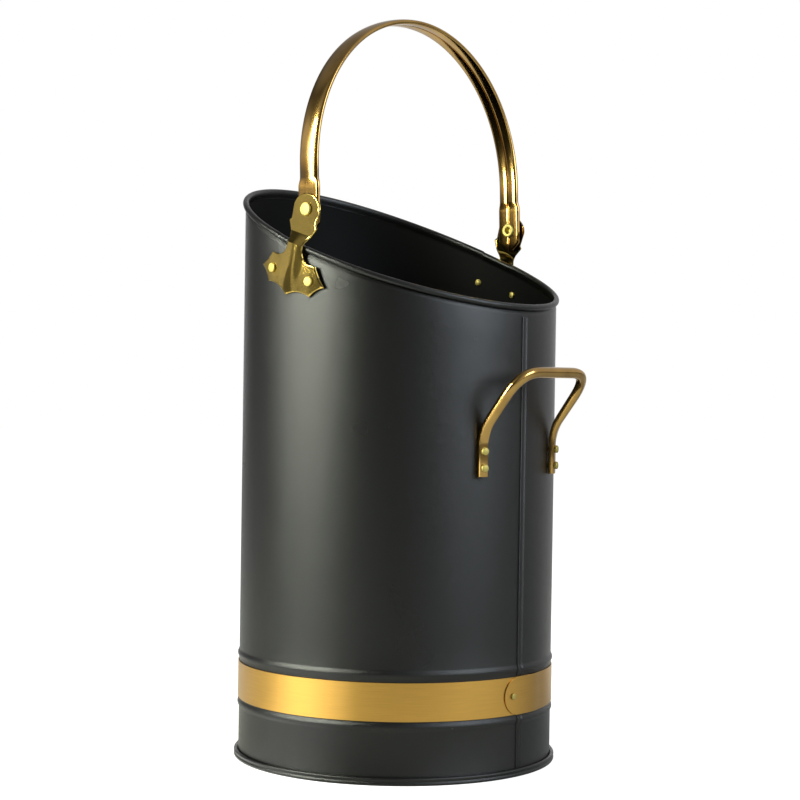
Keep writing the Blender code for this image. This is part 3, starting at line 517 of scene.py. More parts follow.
def bail_brass(colours):
    """The bail's brass, buffed along the strap: streaks run round the arch and down the legs."""
    arch = PIVOT.z + bpy.context.scene.hod_bail.arch_rise

    def flow(material, place):
        """Coordinates drawn out along the arch."""
        parts = add_node(material, "SeparateXYZ", place)
        rise = add_node(material, "Math", parts.outputs["Z"], arch, operation="SUBTRACT")
        turn = add_node(material, "Math", rise, parts.outputs["X"], operation="ARCTAN2")
        flat = add_node(material, "CombineXYZ", turn, parts.outputs["Y"])
        return add_node(material, "Mapping", flat, Scale=(0.003, 1.0, 1.0))

    def painted_shade_and_highlight(material, place, base):
        """Painted shade on the flattened ends, with a painted highlight bar across them."""
        parts = add_node(material, "SeparateXYZ", place)
        up = add_node(material, "MapRange", parts.outputs["Z"], PIVOT.z, PIVOT.z + PAINTED_SHADE_RISE)
        tone = add_node(material, "ValToRGB", up)
        ramp = tone.color_ramp
        for share, shade in PAINTED_SHADE_STEPS:
            stop = ramp.elements.new(share)
            stop.color = (shade, shade * PAINTED_SHADE_HUE[0], shade * PAINTED_SHADE_HUE[1], 1)
        ramp.elements.remove(ramp.elements[0])
        ramp.elements[-1].color = (1, 1, 1, 1)
        # Multiply the painted shade into the brass, leaving the painted highlight bar at full
        # brightness
        return add_node(material, "Mix", 1.0, base, tone, data_type="RGBA", blend_type="MULTIPLY")

    return polished_brass("buffed_lacquered_brass_strap", colours.brass, colours.brass_dark,
                          flow, 0.13, 0.17, 0.008, painted_shade_and_highlight)


def stamped_brass(colours):
    """The ears' brass, stamped and tumbled: a fine grain without direction that dulls the light."""
    def peppered(material, place, base):
        """A fine pepper of darker and lighter specks."""
        specks = add_node(material, "TexNoise", place, per_millimetre(0.8), Detail=4.0,
                          Roughness=0.7)
        tone = add_node(material, "MapRange", specks, 0.35, 0.65, 0.62, 1.15)
        return add_node(material, "VectorMath", base, tone, operation="SCALE")

    return polished_brass("tumbled_stamped_brass", colours.ear, colours.ear_dark,
                          lambda material, place: place, 0.05, 0.08, 0.30, peppered)


def drawn_brass(colours):
    """The rear handle's brass, drawn to a rod and buffed: smooth, with faint marks along it."""
    def flow(material, place):
        """Coordinates drawn out along the bar."""
        return add_node(material, "Mapping", place, Scale=(0.2, 0.4, 0.4))

    return polished_brass("drawn_buffed_brass_rod", colours.brass, colours.brass_dark, flow,
                          0.12, 0.17, 0.02)


def rivet_brass(colours):
    """Brass rivets whose heads the hammer left matt: each shows as one even pale spot."""
    material, shader, place = new_finish("hammered_brass_rivet")
    pits = add_node(material, "TexNoise", place, per_millimetre(0.9), Detail=2.0)
    gloss = add_node(material, "MapRange", pits, 0.3, 0.7, 0.56, 0.62)
    bump = add_node(material, "Bump", Strength=0.35, Distance=0.00010, Height=pits)
    fill_inputs(material, shader, Base_Color=colours.rivet, Roughness=gloss, Normal=bump,
                Metallic=1.0)
    return material


def drawn_wire(colours):
    """Bright drawn steel wire with faint die lines."""
    material, shader, place = new_finish("drawn_steel_wire")
    marks = add_node(material, "TexNoise", place, per_millimetre(1.0), Detail=2.0)
    gloss = add_node(material, "MapRange", marks, 0.3, 0.7, 0.35, 0.5)
    fill_inputs(material, shader, Base_Color=colours.wire, Roughness=gloss, Metallic=1.0)
    return material


made_finishes = {}


def finish(make):
    """The finish that a function makes, made once."""
    if make not in made_finishes:
        made_finishes[make] = make(bpy.context.scene.hod_colours)
    return made_finishes[make]


def rim_height(wall, turn):
    """Height of the rolled edge at an angle from +X toward +Y."""
    slope = (wall.front_rise + wall.rear_fall) / 2
    bow = (wall.front_rise - wall.rear_fall) / 2
    return wall.side_height - slope * sin(turn) + bow * sin(turn) ** 2


def curl_radius(wall):
    """Radius of the rolled edge at mid thickness."""
    return wall.wire / 2 + wall.gap + wall.sheet / 2


def curl_centre(wall):
    """Distance from the axis to the middle of the rolled edge."""
    return wall.radius + wall.curl_proud - curl_radius(wall) - wall.sheet / 2


def bead_middles(wall, band):
    """Heights of the lower and the upper bead."""
    return (band.bottom - wall.lower_bead_gap - wall.bead_half,
            band.bottom + band.width + wall.upper_bead_gap + wall.bead_half)


def bead_heights(wall, band, steps):
    """Heights of the rings that form the two beads."""
    return [middle + wall.bead_half * (2 * share - 1)
            for middle in bead_middles(wall, band) for share in shares(steps)]


def bead_bulge(wall, band, height):
    """How far the beads push the wall out at a height."""
    away = [abs(height - middle) / wall.bead_half for middle in bead_middles(wall, band)]
    return sum(wall.bead_height * (1 + cos(pi * share)) / 2 for share in away if share < 1)


def wall_profile(wall, band, foot):
    """The wall at mid thickness, from its flange up over the rolled edge to its free lip."""
    middle = wall.radius - wall.sheet / 2
    flange = wall.sheet * 1.5 + wall.gap
    curl = curl_radius(wall)
    inner = curl_centre(wall) - curl
    reach = foot.proud * FLANGE_REACH_SHARE
    start, end = plain_wall(wall, band)
    points = [(middle + reach, flange), (middle + reach / 4, flange + reach / 2),
              (middle, flange + reach * 1.6)]
    points += [(middle + bead_bulge(wall, band, height), height)
               for height in bead_heights(wall, band, BEAD_STEPS)]
    points += [(middle, blend(start, end, share)) for share in shares(WALL_ROWS, 1)]
    points += [(blend(middle, inner, smooth_step(0, 1, share)), blend(end, wall.side_height, share))
               for share in shares(SET_IN_STEPS, 1)]
    turns = [pi - CURL_SWEEP * share for share in shares(CURL_STEPS, 1)]
    return points + [(curl_centre(wall) + curl * cos(turn), wall.side_height + curl * sin(turn))
                     for turn in turns]


def plain_wall(wall, band):
    """Heights between which the wall is plain, at the sides."""
    return bead_middles(wall, band)[1] + wall.bead_half, wall.side_height - wall.set_in


def wall_turns(wall):
    """Angles round the wall, with close ones where the rolled edge steps in under the ears."""
    edge = wall.crimp_half / wall.radius
    fine = [(side + way * edge + shift) % (2 * pi) for side in (0, pi) for way in (-1, 1)
            for shift in (-CRIMP_COLUMN, CRIMP_COLUMN)]
    return sorted(even_turns(WALL_SIDES) + fine)


def crimp_share(wall, turn):
    """1 where the rolled edge is pressed in under an ear and 0 elsewhere."""
    edge = wall.crimp_half / wall.radius
    away = min(abs(turn), abs(turn - pi), abs(turn - 2 * pi))
    return 1 - smooth_step(edge - CRIMP_FADE, edge + CRIMP_FADE, away)


def wall_rings(wall, band, foot):
    """Rings of the wall's mesh, each slanted as the mouth is by its share of the height."""
    start, end = plain_wall(wall, band)
    rings = []
    for radius, height in wall_profile(wall, band, foot):
        share = min(max((height - start) / (end - start), 0), 1)
        curled = smooth_step(end, end + wall.set_in, height)
        ring = []
        for turn in wall_turns(wall):
            lift = share * (rim_height(wall, turn) - wall.side_height)
            pressed = wall.crimp * crimp_share(wall, turn) * curled
            ring.append(Vector(((radius - pressed) * cos(turn), (radius - pressed) * sin(turn),
                                height + lift - pressed)))
        rings.append(ring)
    return rings


class HOD_OT_wall(Operator):
    """Roll the wall, with its slanted wired mouth and its two beads"""

    bl_idname = "hod.wall"
    bl_label = "Wall"

    def execute(self, context):
        scene = context.scene
        wall = scene.hod_wall
        piece = lofted("wall", wall_rings(wall, scene.hod_band, scene.hod_foot))
        thicken(piece, wall.sheet)
        finish_piece(piece, satin_paint, "body_shell")
        piece.data.materials.append(finish(inside_paint))
        for face in piece.data.polygons:
            x, y, z = face.center
            inward = -Vector((x, y, 0)).normalized()
            below = z < rim_height(wall, atan2(y, x)) - curl_radius(wall) * 3
            hollow = face.center.xy.length < wall.radius
            if face.normal.dot(inward) > INWARD_SHARE and below and hollow:
                face.material_index = 1
        return {"FINISHED"}


# Half the seam's outline: shares of half its width and of how far it stands out
SEAM_SECTION_SHARES = ((0.52, 0.55), (0.70, 1.0), (0.82, 0.95), (0.93, 0.60), (1.0, 0.0))


class HOD_OT_seam(Operator):
    """Raise the lengthwise seam behind, pressed flat where the band lies over it"""

    bl_idname = "hod.seam"
    bl_label = "Lengthwise seam"

    def execute(self, context):
        scene = context.scene
        wall = scene.hod_wall
        band = scene.hod_band
        turn = pi / 2 - wall.seam_turn
        top = rim_height(wall, turn) - wall.set_in
        band_top = band.bottom + band.width
        heights = [scene.hod_foot.height + wall.gap, band.bottom, band_top, top - wall.set_in / 4,
                   top, *bead_heights(wall, band, SEAM_BEAD_STEPS)]
        rings = []
        for height in sorted(heights):
            flat = height == top or band.bottom - wall.gap < height < band_top + wall.gap
            rings.append(self.section(wall, turn, height, bead_bulge(wall, band, height),
                                      0 if flat else wall.seam_proud))
        piece = lofted("lengthwise_seam", rings, "flat", "flat")
        finish_piece(piece, satin_paint, None, crease=60)
        return {"FINISHED"}

    def section(self, wall, turn, height, bulge, proud):
        """The seam's outline at one height: a low ridge with soft shoulders."""
        half = [(across * wall.seam_width / 2, wall.radius + bulge + out * proud)
                for across, out in SEAM_SECTION_SHARES]
        half.append((wall.seam_width / 2, wall.radius + bulge - wall.sheet / 2))
        spin = Matrix.Rotation(turn - pi / 2, 3, "Z")
        return [spin @ Vector((across, out, height))
                for across, out in [(-across, out) for across, out in reversed(half)] + half]


class HOD_OT_base(Operator):
    """Seam the base plate round the foot of the wall"""

    bl_idname = "hod.base"
    bl_label = "Base"

    def execute(self, context):
        scene = context.scene
        wall = scene.hod_wall
        foot = scene.hod_foot
        half = wall.sheet / 2
        outer = wall.radius + foot.proud - half
        inner = wall.radius - wall.sheet - wall.gap - half
        top = foot.height - half
        plate = foot.recess + half
        profile = [(wall.radius + wall.gap + half, top - foot.corner / 2)]
        profile += self.arc(outer - foot.corner, top - foot.corner, foot.corner, 100, 0)
        for share in shares(GROOVE_STEPS, 1)[:-1]:
            height = top - foot.corner - share * (top - 2 * foot.corner - half)
            profile.append((outer - foot.groove * sin(pi * share) ** 2, height))
        profile += self.arc(outer - foot.corner, half + foot.corner, foot.corner, 0, -90)
        profile += self.arc(inner + foot.corner, half + foot.corner, foot.corner, -90, -180)
        profile += self.arc(inner - foot.corner, plate - foot.corner, foot.corner, 0, 90)
        profile += [(inner - 8 * foot.corner, plate), (inner / 2, plate)]
        piece = lofted("base_plate", circle_rings(profile, WALL_SIDES), "open", "pole")
        thicken(piece, wall.sheet)
        finish_piece(piece, satin_paint, "base_pan")
        return {"FINISHED"}

    def arc(self, across, up, radius, start, end):
        """Profile points on an arc between two angles in degrees."""
        turns = [radians(blend(start, end, share)) for share in shares(CORNER_STEPS)]
        return [(across + radius * cos(turn), up + radius * sin(turn)) for turn in turns]


class HOD_OT_band(Operator):
    """Wrap the brass strip round the wall, with its rounded end over its beginning"""

    bl_idname = "hod.band"
    bl_label = "Brass band"

    def execute(self, context):
        scene = context.scene
        wall = scene.hod_wall
        band = scene.hod_band
        seat = wall.radius + wall.gap
        lap = seat + band.thickness + wall.gap
        step_end = 2 * pi + band.inner_end - band.step_margin
        middle = band.bottom + band.width / 2
        edge = band.thickness / 3
        rings = []
        for turn, half in self.stations(band, lap):
            rise = smooth_step(step_end - band.step, step_end, turn)
            inside = blend(seat, lap, rise)
            outside = inside + band.thickness
            section = ((inside, half), (outside - edge, half), (outside, half - edge),
                       (outside, 0), (outside, edge - half), (outside - edge, -half),
                       (inside, -half), (inside, 0))
            rings.append([Vector((radius * sin(turn), radius * cos(turn), middle + level))
                          for radius, level in section])
        piece = lofted("brass_strip", rings, "flat", "flat")
        finish_piece(piece, brushed_strip, "brass_band", crease=30)
        return {"FINISHED"}

    def stations(self, band, lap):
        """Angles from +Y toward +X along the strip, each with its half width."""
        half = band.width / 2
        end = 2 * pi + band.outer_end - half / lap
        tip = [BAND_TIP_SWEEP * share for share in shares(BAND_TIP_STEPS, 1)]
        return ([(blend(band.inner_end, end, share), half) for share in shares(WALL_SIDES)]
                + [(end + half * sin(turn) / lap, half * cos(turn)) for turn in tip])


# Corners of half an ear from its bottom point up: shares of the half span across and of the reach
# up, and the bow of the edge that leads to each corner as a share of the half span
EAR_OUTLINE_SHARES = (
    (0.000, -0.314, 0.000),
    (0.676, -0.225, -0.085),
    (1.000, -0.020, -0.050),
    (0.647, 0.241, -0.025),
    (0.500, 0.235, 0.000),
    (0.221, 0.451, -0.100),
    (0.256, 0.553, -0.012),
    (0.440, 0.770, 0.000),
    (0.385, 0.812, 0.000),
)
EAR_BOW_STEPS = 8
EAR_HEAD_STEPS = 28

# Where an ear's neck bends, as shares of the reach; how deep and how wide its edge is rounded; and
# how much of the rib's rise is there already at its toe
EAR_BEND_SHARES = (0.465, 0.632)
EAR_EDGE_DEPTH = 0.0009
EAR_EDGE = 0.0003
RIB_TOE_SHARE = 0.35


class HOD_OT_ears(Operator):
    """Stamp and form the two ears"""

    bl_idname = "hod.ears"
    bl_label = "Ears"

    def execute(self, context):
        scene = context.scene
        for side, name in SIDES:
            piece = self.blank(scene.hod_ear, "stamped_ear_" + name)
            for vertex in piece.data.vertices:
                vertex.co = self.formed(scene, vertex.co, side)
            thicken(piece, scene.hod_ear.sheet - EAR_EDGE_DEPTH, -side)
            bpy.ops.object.mode_set(mode="EDIT")
            close_edit()
            finish_piece(piece, stamped_brass, "ear_" + name, crease=84)
        return {"FINISHED"}

    def outline(self, ear):
        """The flat ear's outline, anticlockwise from its bottom point."""
        reach = ear_reach(ear)
        half = [Vector((0, EAR_OUTLINE_SHARES[0][1] * reach))]
        for across, up, bow in EAR_OUTLINE_SHARES[1:]:
            start = half[-1]
            corner = Vector((across * ear.half_span, up * reach))
            chord = corner - start
            outward = Vector((chord.y, -chord.x)).normalized() * bow * ear.half_span
            half += [start + share * chord + 4 * share * (1 - share) * outward
                     for share in shares(EAR_BOW_STEPS, 1)]
        for share in shares(EAR_HEAD_STEPS, 1)[:EAR_HEAD_STEPS // 2 - 1]:
            half.append(Vector((ear.head_half * cos(pi * share),
                                reach + ear.head_rise * sin(pi * share))))
        crown = Vector((0, reach + ear.head_rise))
        return half + [crown] + [Vector((-point.x, point.y)) for point in reversed(half[1:])]

    def blank(self, ear, name):
        """The flat blank: an outline filled, given a rounded edge and cut into small cells."""
        outline = [point.to_3d() for point in self.outline(ear)]
        piece = open_circle(name, outline, "NGON")
        bpy.ops.mesh.inset(thickness=EAR_EDGE)
        for vertex in current_shape(piece).verts:
            vertex.co.z = -EAR_EDGE_DEPTH if vertex.is_boundary else 0
        low = min(point.y for point in outline)
        high = max(point.y for point in outline)
        self.slice(ear.half_span, -ear.half_span, (1, 0, 0))
        self.slice(high, low, (0, 1, 0))
        for share in EAR_BEND_SHARES:
            bpy.ops.mesh.select_all(action="SELECT")
            bpy.ops.mesh.bisect(plane_co=(0, share * ear_reach(ear), 0), plane_no=(0, 1, 0))
            bpy.ops.mesh.mark_sharp()
        bpy.ops.object.mode_set(mode="OBJECT")
        return piece

    def slice(self, high, low, normal):
        """Cut the open piece by a row of planes one cell apart."""
        for share in shares(round((high - low) / EAR_CELL), 1)[:-1]:
            level = blend(low, high, share)
            bpy.ops.mesh.select_all(action="SELECT")
            bpy.ops.mesh.bisect(plane_co=Vector(normal) * level, plane_no=normal)

    def formed(self, scene, point, side):
        """Where a point of the flat blank goes once the blank is pressed to shape."""
        wall = scene.hod_wall
        ear = scene.hod_ear
        reach = ear_reach(ear)
        across, up, depth = point
        depth += ear.sheet
        flank = 1 - smooth_step(ear.rib_half, ear.rib_half + ear.rib_flank, abs(across))
        toe = EAR_OUTLINE_SHARES[0][1] * reach
        rise = blend(RIB_TOE_SHARE, 1, smooth_step(toe, toe + ear.rib_toe, up))
        lift = ear_lean(ear, up) + ear.rib_rise * flank * rise
        seat = wall.radius + wall.gap
        arc = ear.shift + across * cos(ear.tilt) + up * sin(ear.tilt)
        height = wall.side_height - ear.drop - across * sin(ear.tilt) + up * cos(ear.tilt)
        radius = seat + lift + depth
        wrapped = Vector((radius * cos(arc / seat), radius * sin(arc / seat), height))
        upright = Vector((head_seat(scene) + depth, arc, height))
        start, end = (share * reach for share in EAR_BEND_SHARES)
        share = min(max((up - start) / (end - start), 0), 1)
        place = wrapped.lerp(upright, share)
        place.x *= side
        return place


def ear_lean(ear, up):
    """How far the ear stands off the wall at a height above the line of its rivets."""
    toe = EAR_OUTLINE_SHARES[0][1] * ear_reach(ear)
    rim = ear.drop / cos(ear.tilt)
    return ear.lean * min((up - toe) / (rim - toe), 1)


def ear_reach(ear):
    """From the line of an ear's rivets up to the pivot, along the ear."""
    return (ear.drop + ear.pivot_rise) / cos(ear.tilt)


def head_seat(scene):
    """Distance from the middle to the inside of an ear's head."""
    return scene.hod_wall.radius - scene.hod_bail.leg_inset + scene.hod_wall.gap


# Section of the bail: shares of half its width and half its thickness, anticlockwise
STRAP_SECTION_SHARES = (
    (1.00, 0.00), (0.98, 0.24), (0.91, 0.46), (0.80, 0.62), (0.62, 0.78), (0.42, 0.90),
    (0.21, 0.97), (0.00, 1.00), (-0.21, 0.97), (-0.42, 0.90), (-0.62, 0.78), (-0.80, 0.62),
    (-0.91, 0.46), (-0.98, 0.24), (-1.00, 0.00), (-0.985, -0.45),
    (-0.93, -0.80), (-0.80, -1.00), (-0.50, -1.02), (-0.20, -1.00), (-0.07, -0.86),
    (-0.03, -0.30), (0.03, -0.30), (0.07, -0.86), (0.20, -1.00), (0.50, -1.02), (0.80, -1.00),
    (0.93, -0.80), (0.985, -0.45),
)

# How much the outer and the inner side of that section are stretched where the strap is pressed
# flat, before they are cut off at full thickness
PRESSED_OUT = 2.2
PRESSED_IN = 1.15


class HOD_OT_bail(Operator):
    """Fold and bend the swinging bail"""

    bl_idname = "hod.bail"
    bl_label = "Bail"

    def execute(self, context):
        scene = context.scene
        bail = scene.hod_bail
        piece = strap("folded_bail", self.half_rings(scene))
        bpy.ops.mesh.primitive_cylinder_add(vertices=RIVET_SIDES, radius=bail.bore / 2,
                                            depth=3 * scene.hod_wall.radius,
                                            rotation=(0, pi / 2, 0))
        drill = bpy.context.active_object
        apply_modifier(piece, "Bore", "BOOLEAN", object=drill, operation="DIFFERENCE",
                       solver="EXACT")
        bpy.data.objects.remove(drill)
        lean = Matrix.Rotation(bail.lean, 4, "X")
        piece.data.transform(Matrix.Translation(PIVOT) @ lean)
        finish_piece(piece, bail_brass, "bail_handle", crease=50, body="bail")
        return {"FINISHED"}

    def half_rings(self, scene):
        """Sections from the end of a leg to the top of the arch, about the pivot."""
        wall = scene.hod_wall
        bail = scene.hod_bail
        leg = wall.radius - bail.leg_inset - bail.end_thickness / 2
        arch = wall.radius - bail.arch_inset - bail.strap_thickness / 2
        end = scene.hod_ear.pivot_rise - curl_radius(wall) - wall.sheet / 2 - bail.rim_gap
        stations = [(-end, bail.end_width / 2 - bail.chamfer, 0),
                    (bail.chamfer - end, bail.end_width / 2, 0), (0, bail.end_width / 2, 0)]
        for share in shares(BAIL_STEP_STEPS):
            folded = smooth_step(0, 1, share)
            half = blend(bail.end_width, bail.strap_width, folded) / 2
            stations.append((bail.flat_length + share * bail.step_length, half, folded))
        rings = []
        for height, half, folded in stations:
            middle = Vector((blend(leg, arch, folded), 0, height))
            thick = blend(bail.end_thickness, bail.strap_thickness, folded)
            rings.append(self.section(middle, Vector((1, 0, 0)), half, thick / 2, folded))
        for share in shares(BAIL_ARCH_STEPS):
            outward = Vector((cos(pi / 2 * share), 0, sin(pi / 2 * share)))
            middle = Vector((0, 0, bail.arch_rise)) + arch * outward
            if share == 1:
                middle.x = 0
            rings.append(self.section(middle, outward, bail.strap_width / 2,
                                      bail.strap_thickness / 2, 1))
        return rings

    def section(self, middle, outward, half_width, half_thickness, folded):
        """The strap's outline at one station, with its width along Y, pressed flat at the ends."""
        ring = []
        for across, out in STRAP_SECTION_SHARES:
            pressed = min(1, out * PRESSED_OUT) if out > 0 else max(-1, out * PRESSED_IN)
            ring.append(middle + outward * blend(pressed, out, folded) * half_thickness
                        + Vector((0, across * half_width, 0)))
        return ring


# How square the rear handle's outline is: the power of its curve at the legs and along the bar
ROD_POWER_LEG = 4.5
ROD_POWER_BAR = 2.6


class HOD_OT_rear_handle(Operator):
    """Bend the fixed tipping handle behind"""

    bl_idname = "hod.rear_handle"
    bl_label = "Rear handle"

    def execute(self, context):
        scene = context.scene
        piece = strap("tipping_handle", self.half_rings(scene))
        piece.data.transform(Matrix.Rotation(scene.hod_handle.turn, 4, "Z"))
        finish_piece(piece, drawn_brass, "rear_handle", crease=30)
        return {"FINISHED"}

    def half_rings(self, scene):
        """Sections along half the handle, carried on from the leg without twist."""
        handle = scene.hod_handle
        path = self.path(scene)
        turn = handle_leg_turn(scene)
        outward = Vector((sin(turn), cos(turn), 0))
        low = path[1].z
        high = low + handle.neck + handle.low_bend * 1.5
        rings = []
        for index, middle in enumerate(path):
            ahead = path[min(index + 1, len(path) - 1)]
            along = (ahead - path[max(index - 1, 0)]).normalized()
            if index == len(path) - 1:
                along = Vector((-1, 0, 0))
            outward = (outward - outward.dot(along) * along).normalized()
            across = along.cross(outward)
            share = smooth_step(low, high, middle.z)
            rings.append([middle + across * wide + outward * deep
                          for wide, deep in self.section(handle, share)])
        return rings

    def path(self, scene):
        """The middle line of half the handle, from its foot to x = 0."""
        wall = scene.hod_wall
        handle = scene.hod_handle
        turn = handle_leg_turn(scene)
        leg = leg_centre(scene)
        bar_y = wall.radius + handle.bar_reach
        bar_z = wall.side_height - wall.rear_fall - handle.bar_drop
        foot = Vector((leg * sin(turn), leg * cos(turn), bar_z - handle.height))
        upper_rivet = foot + Vector((0, 0, handle.rivet_edge + handle.rivet_spacing))
        bend = upper_rivet + Vector((0, 0, handle.neck + handle.low_bend / 2))
        corner = Vector((handle.bar_half, bar_y, bar_z))
        middle = Vector((0, bar_y, bar_z))
        return ([foot, upper_rivet] + self.bent(foot, bend, corner, handle.low_bend / 2)
                + self.bent(bend, corner, middle, handle.top_bend) + [middle])

    def bent(self, before, corner, after, cut):
        """Points of a smooth bend that starts and ends a cut's length from the corner."""
        start = corner + (before - corner).normalized() * cut
        end = corner + (after - corner).normalized() * cut
        return [start * (1 - share) ** 2 + corner * 2 * share * (1 - share) + end * share ** 2
                for share in shares(HANDLE_BEND_STEPS)]

    def section(self, handle, share):
        """The rod's outline: flattened at the legs, rounder along the bar."""
        half_width = blend(handle.leg_width, handle.bar_width, share) / 2
        half_depth = blend(handle.leg_depth, handle.bar_depth, share) / 2
        power = blend(ROD_POWER_LEG, ROD_POWER_BAR, share)
        points = []
        for index in range(HANDLE_SECTION_POINTS):
            turn = 2 * pi * (index + 0.5) / HANDLE_SECTION_POINTS
            size = (abs(cos(turn)) ** power + abs(sin(turn)) ** power) ** (-1 / power)
            points.append((half_width * size * cos(turn), half_depth * size * sin(turn)))
        return points


def leg_centre(scene):
    """Distance from the hod's axis to the middle of the rear handle's legs."""
    return scene.hod_wall.radius + scene.hod_wall.gap + scene.hod_handle.leg_depth / 2


def handle_leg_turn(scene):
    """Angle between the middle of the rear and each leg of the rear handle."""
    return asin(scene.hod_handle.leg_spread / leg_centre(scene))


# Outlines of the rivets, as shares of each feature's radius and rise
HEAD_SHARES = ((0.60, 1.00), (0.78, 0.99), (0.90, 0.92), (0.975, 0.68), (1.00, 0.30), (0.97, 0.00))
TAIL_SHARES = ((1.00, 0.00), (0.96, 0.55), (0.80, 0.90), (0.40, 1.00))
CLINCH_SHARES = ((1.00, 0.00), (1.02, 0.30), (0.97, 0.72), (0.86, 0.96), (0.74, 1.00))

# The bottom of the cup in a clinched pivot: shares of the shank's radius and of the cup's depth
CUP_SHARES = ((0.45, 0.95), (0.15, 1.00))

# A rivet's tail: its width and its rise as shares of the shank's width
TAIL_SHARE = 1.6
TAIL_RISE_SHARE = 0.35


class HOD_OT_rivets(Operator):
    """Set every rivet: four in the ears, four in the rear handle, one in the band, two pivots"""

    bl_idname = "hod.rivets"
    bl_label = "Rivets"

    def execute(self, context):
        scene = context.scene
        wall, ear, band = scene.hod_wall, scene.hod_ear, scene.hod_band
        handle, rivets = scene.hod_handle, scene.hod_rivets
        ear_seat = wall.radius + wall.gap
        ear_head_seat = ear_seat + ear_lean(ear, 0) + ear.sheet + wall.gap
        handle_seat = wall.radius + 2 * wall.gap + handle.leg_depth
        edge = (wall.side_height - wall.rear_fall - handle.bar_drop - handle.height
                + handle.rivet_edge)
        for side, label in SIDES:
            for way, end in ((-1, "front"), (1, "rear")):
                across = way * ear.rivet_spacing / 2
                turn = (ear.shift + across * cos(ear.tilt)) / ear_seat
                height = wall.side_height - ear.drop - across * sin(ear.tilt)
                self.wall_rivet(scene, f"ear_rivet_{label}_{end}",
                                turn if side > 0 else pi - turn, height, ear_head_seat,
                                (rivets.ear_head, rivets.ear_rise, rivets.ear_shank))
        for side, label in SIDES:
            turn = pi / 2 + handle.turn - side * handle_leg_turn(scene)
            for row, end in enumerate(("lower", "upper")):
                self.wall_rivet(scene, f"handle_rivet_{label}_{end}", turn,
                                edge + row * handle.rivet_spacing, handle_seat,
                                (rivets.handle_head, rivets.handle_rise, rivets.handle_shank))
        self.wall_rivet(scene, "band_rivet", pi / 2 - band.rivet_arc / (wall.radius + wall.gap),
                        band.bottom + band.width / 2,
                        wall.radius + 3 * wall.gap + 2 * band.thickness,
                        (rivets.band_head, rivets.band_rise, rivets.band_shank))
        self.pivots(scene)
        return {"FINISHED"}

    def wall_rivet(self, scene, node, turn, height, seat, sizes):
        """A rivet through the wall whose head rests at the given distance from the axis."""
        head, rise, shank = sizes
        wall = scene.hod_wall
        grip = seat - wall.radius + wall.sheet + wall.gap
        profile = [(out * head / 2, up * rise) for out, up in HEAD_SHARES]
        profile += [(shank / 2, 0), (shank / 2, -grip)]
        profile += [(out * shank * TAIL_SHARE / 2, -grip - up * shank * TAIL_RISE_SHARE)
                    for out, up in TAIL_SHARES]
        place = (Matrix.Rotation(turn, 4, "Z") @ Matrix.Translation((seat, 0, height))
                 @ Matrix.Rotation(pi / 2, 4, "Y"))
        piece = turned("set_" + node, profile, place)
        finish_piece(piece, rivet_brass, node, crease=50)

    def pivots(self, scene):
        """The pivots of the bail, domed outside and clinched to a cup inside."""
        wall = scene.hod_wall
        bail = scene.hod_bail
        rivets = scene.hod_rivets
        seat = head_seat(scene) + scene.hod_ear.sheet + wall.gap
        grip = seat - (wall.radius - bail.leg_inset - bail.end_thickness - wall.gap)
        foot = -grip - rivets.clinch_rise
        shank = rivets.pivot_shank / 2
        profile = [(out * rivets.pivot_head / 2, up * rivets.pivot_rise) for out, up in HEAD_SHARES]
        profile += [(shank, 0), (shank, -grip)]
        profile += [(out * rivets.clinch / 2, -grip - up * rivets.clinch_rise)
                    for out, up in CLINCH_SHARES]
        profile += [(shank, foot + 0.2 * rivets.clinch_rise),
                    (shank - rivets.cup_wall, foot + 0.6 * rivets.cup_depth)]
        profile += [(shank * out, foot + up * rivets.cup_depth) for out, up in CUP_SHARES]
        for side, label in SIDES:
            place = (Matrix.Translation((side * seat, PIVOT.y, PIVOT.z))
                     @ Matrix.Rotation(side * pi / 2, 4, "Y"))
            piece = turned("set_pivot_" + label, profile, place)
            finish_piece(piece, rivet_brass, "pivot_rivet_" + label, crease=50)


class HOD_OT_rim_wire(Operator):
    """Finish the steel wire inside the rolled edge"""

    bl_idname = "hod.rim_wire"
    bl_label = "Rim wire"

    def execute(self, context):
        wire = frame["nodes"]["rim_wire"]
        wire.data.materials.clear()
        wire.data.materials.append(finish(drawn_wire))
        wire.data.shade_smooth()
        return {"FINISHED"}


# Studio: the camera stands behind and to the right of the hod, at about half its height
CAMERA_PLACE = (1.18591, 1.03508, 0.30383)
CAMERA_TURN = (89.3099, -0.8659, 131.0934)
CAMERA_LENS = 88.065
CAMERA_AZIMUTH = radians(131.115)
TOWARD_CAMERA = (sin(CAMERA_AZIMUTH), -cos(CAMERA_AZIMUTH), 0)
FLOOR_SIZE = 14.0

# Softboxes: name, angle left of the camera in degrees, distance, height, width and height of the
# light, power in watts, and colour
SOFTBOXES = (
    ("key_softbox", 66.5, 1.30, 0.80, 0.26, 0.90, 36, "#fbffec"),
    ("fill_softbox", -58, 1.50, 1.00, 0.85, 1.10, 18, "#e9f4ff"),
)

# Broad glows in the room that only gloss shows: angle left of the camera and rise in degrees,
# cosines where the glow starts and is full, and its strength outside and inside
ROOM_GLOWS = (
    (99, 10, 0.925, 0.982, 0.0, 0.60),
    (105, -5, 0.70, 0.95, 0.0, 0.36),
    (74, 2, 0.9945, 0.999, 0.0, 0.5),
    (77, 15, 0.980, 0.993, 0.0, 2.4),
    (141, 62, 0.80, 0.95, 0.0, 0.2),
    (62, 47, 0.935, 0.992, 0.0, 0.26),
    (-98, 0, -0.60, 0.60, 0.06, 0.54),
)

# The same on the floor: angle from +X in degrees, cosines, strength, how the edge rises, and
# whether the glow fades between the two distances
FLOOR_GLOWS = (
    (-34, 0.9945, 0.999, 0.42, "LINEAR", False),
    (-15, 0.82, 0.985, 1.0, "SMOOTHSTEP", True),
    (-92, 0.72, 0.96, 0.20, "SMOOTHSTEP", False),
)
FLOOR_GLOW_FADE = (1.3, 2.4)


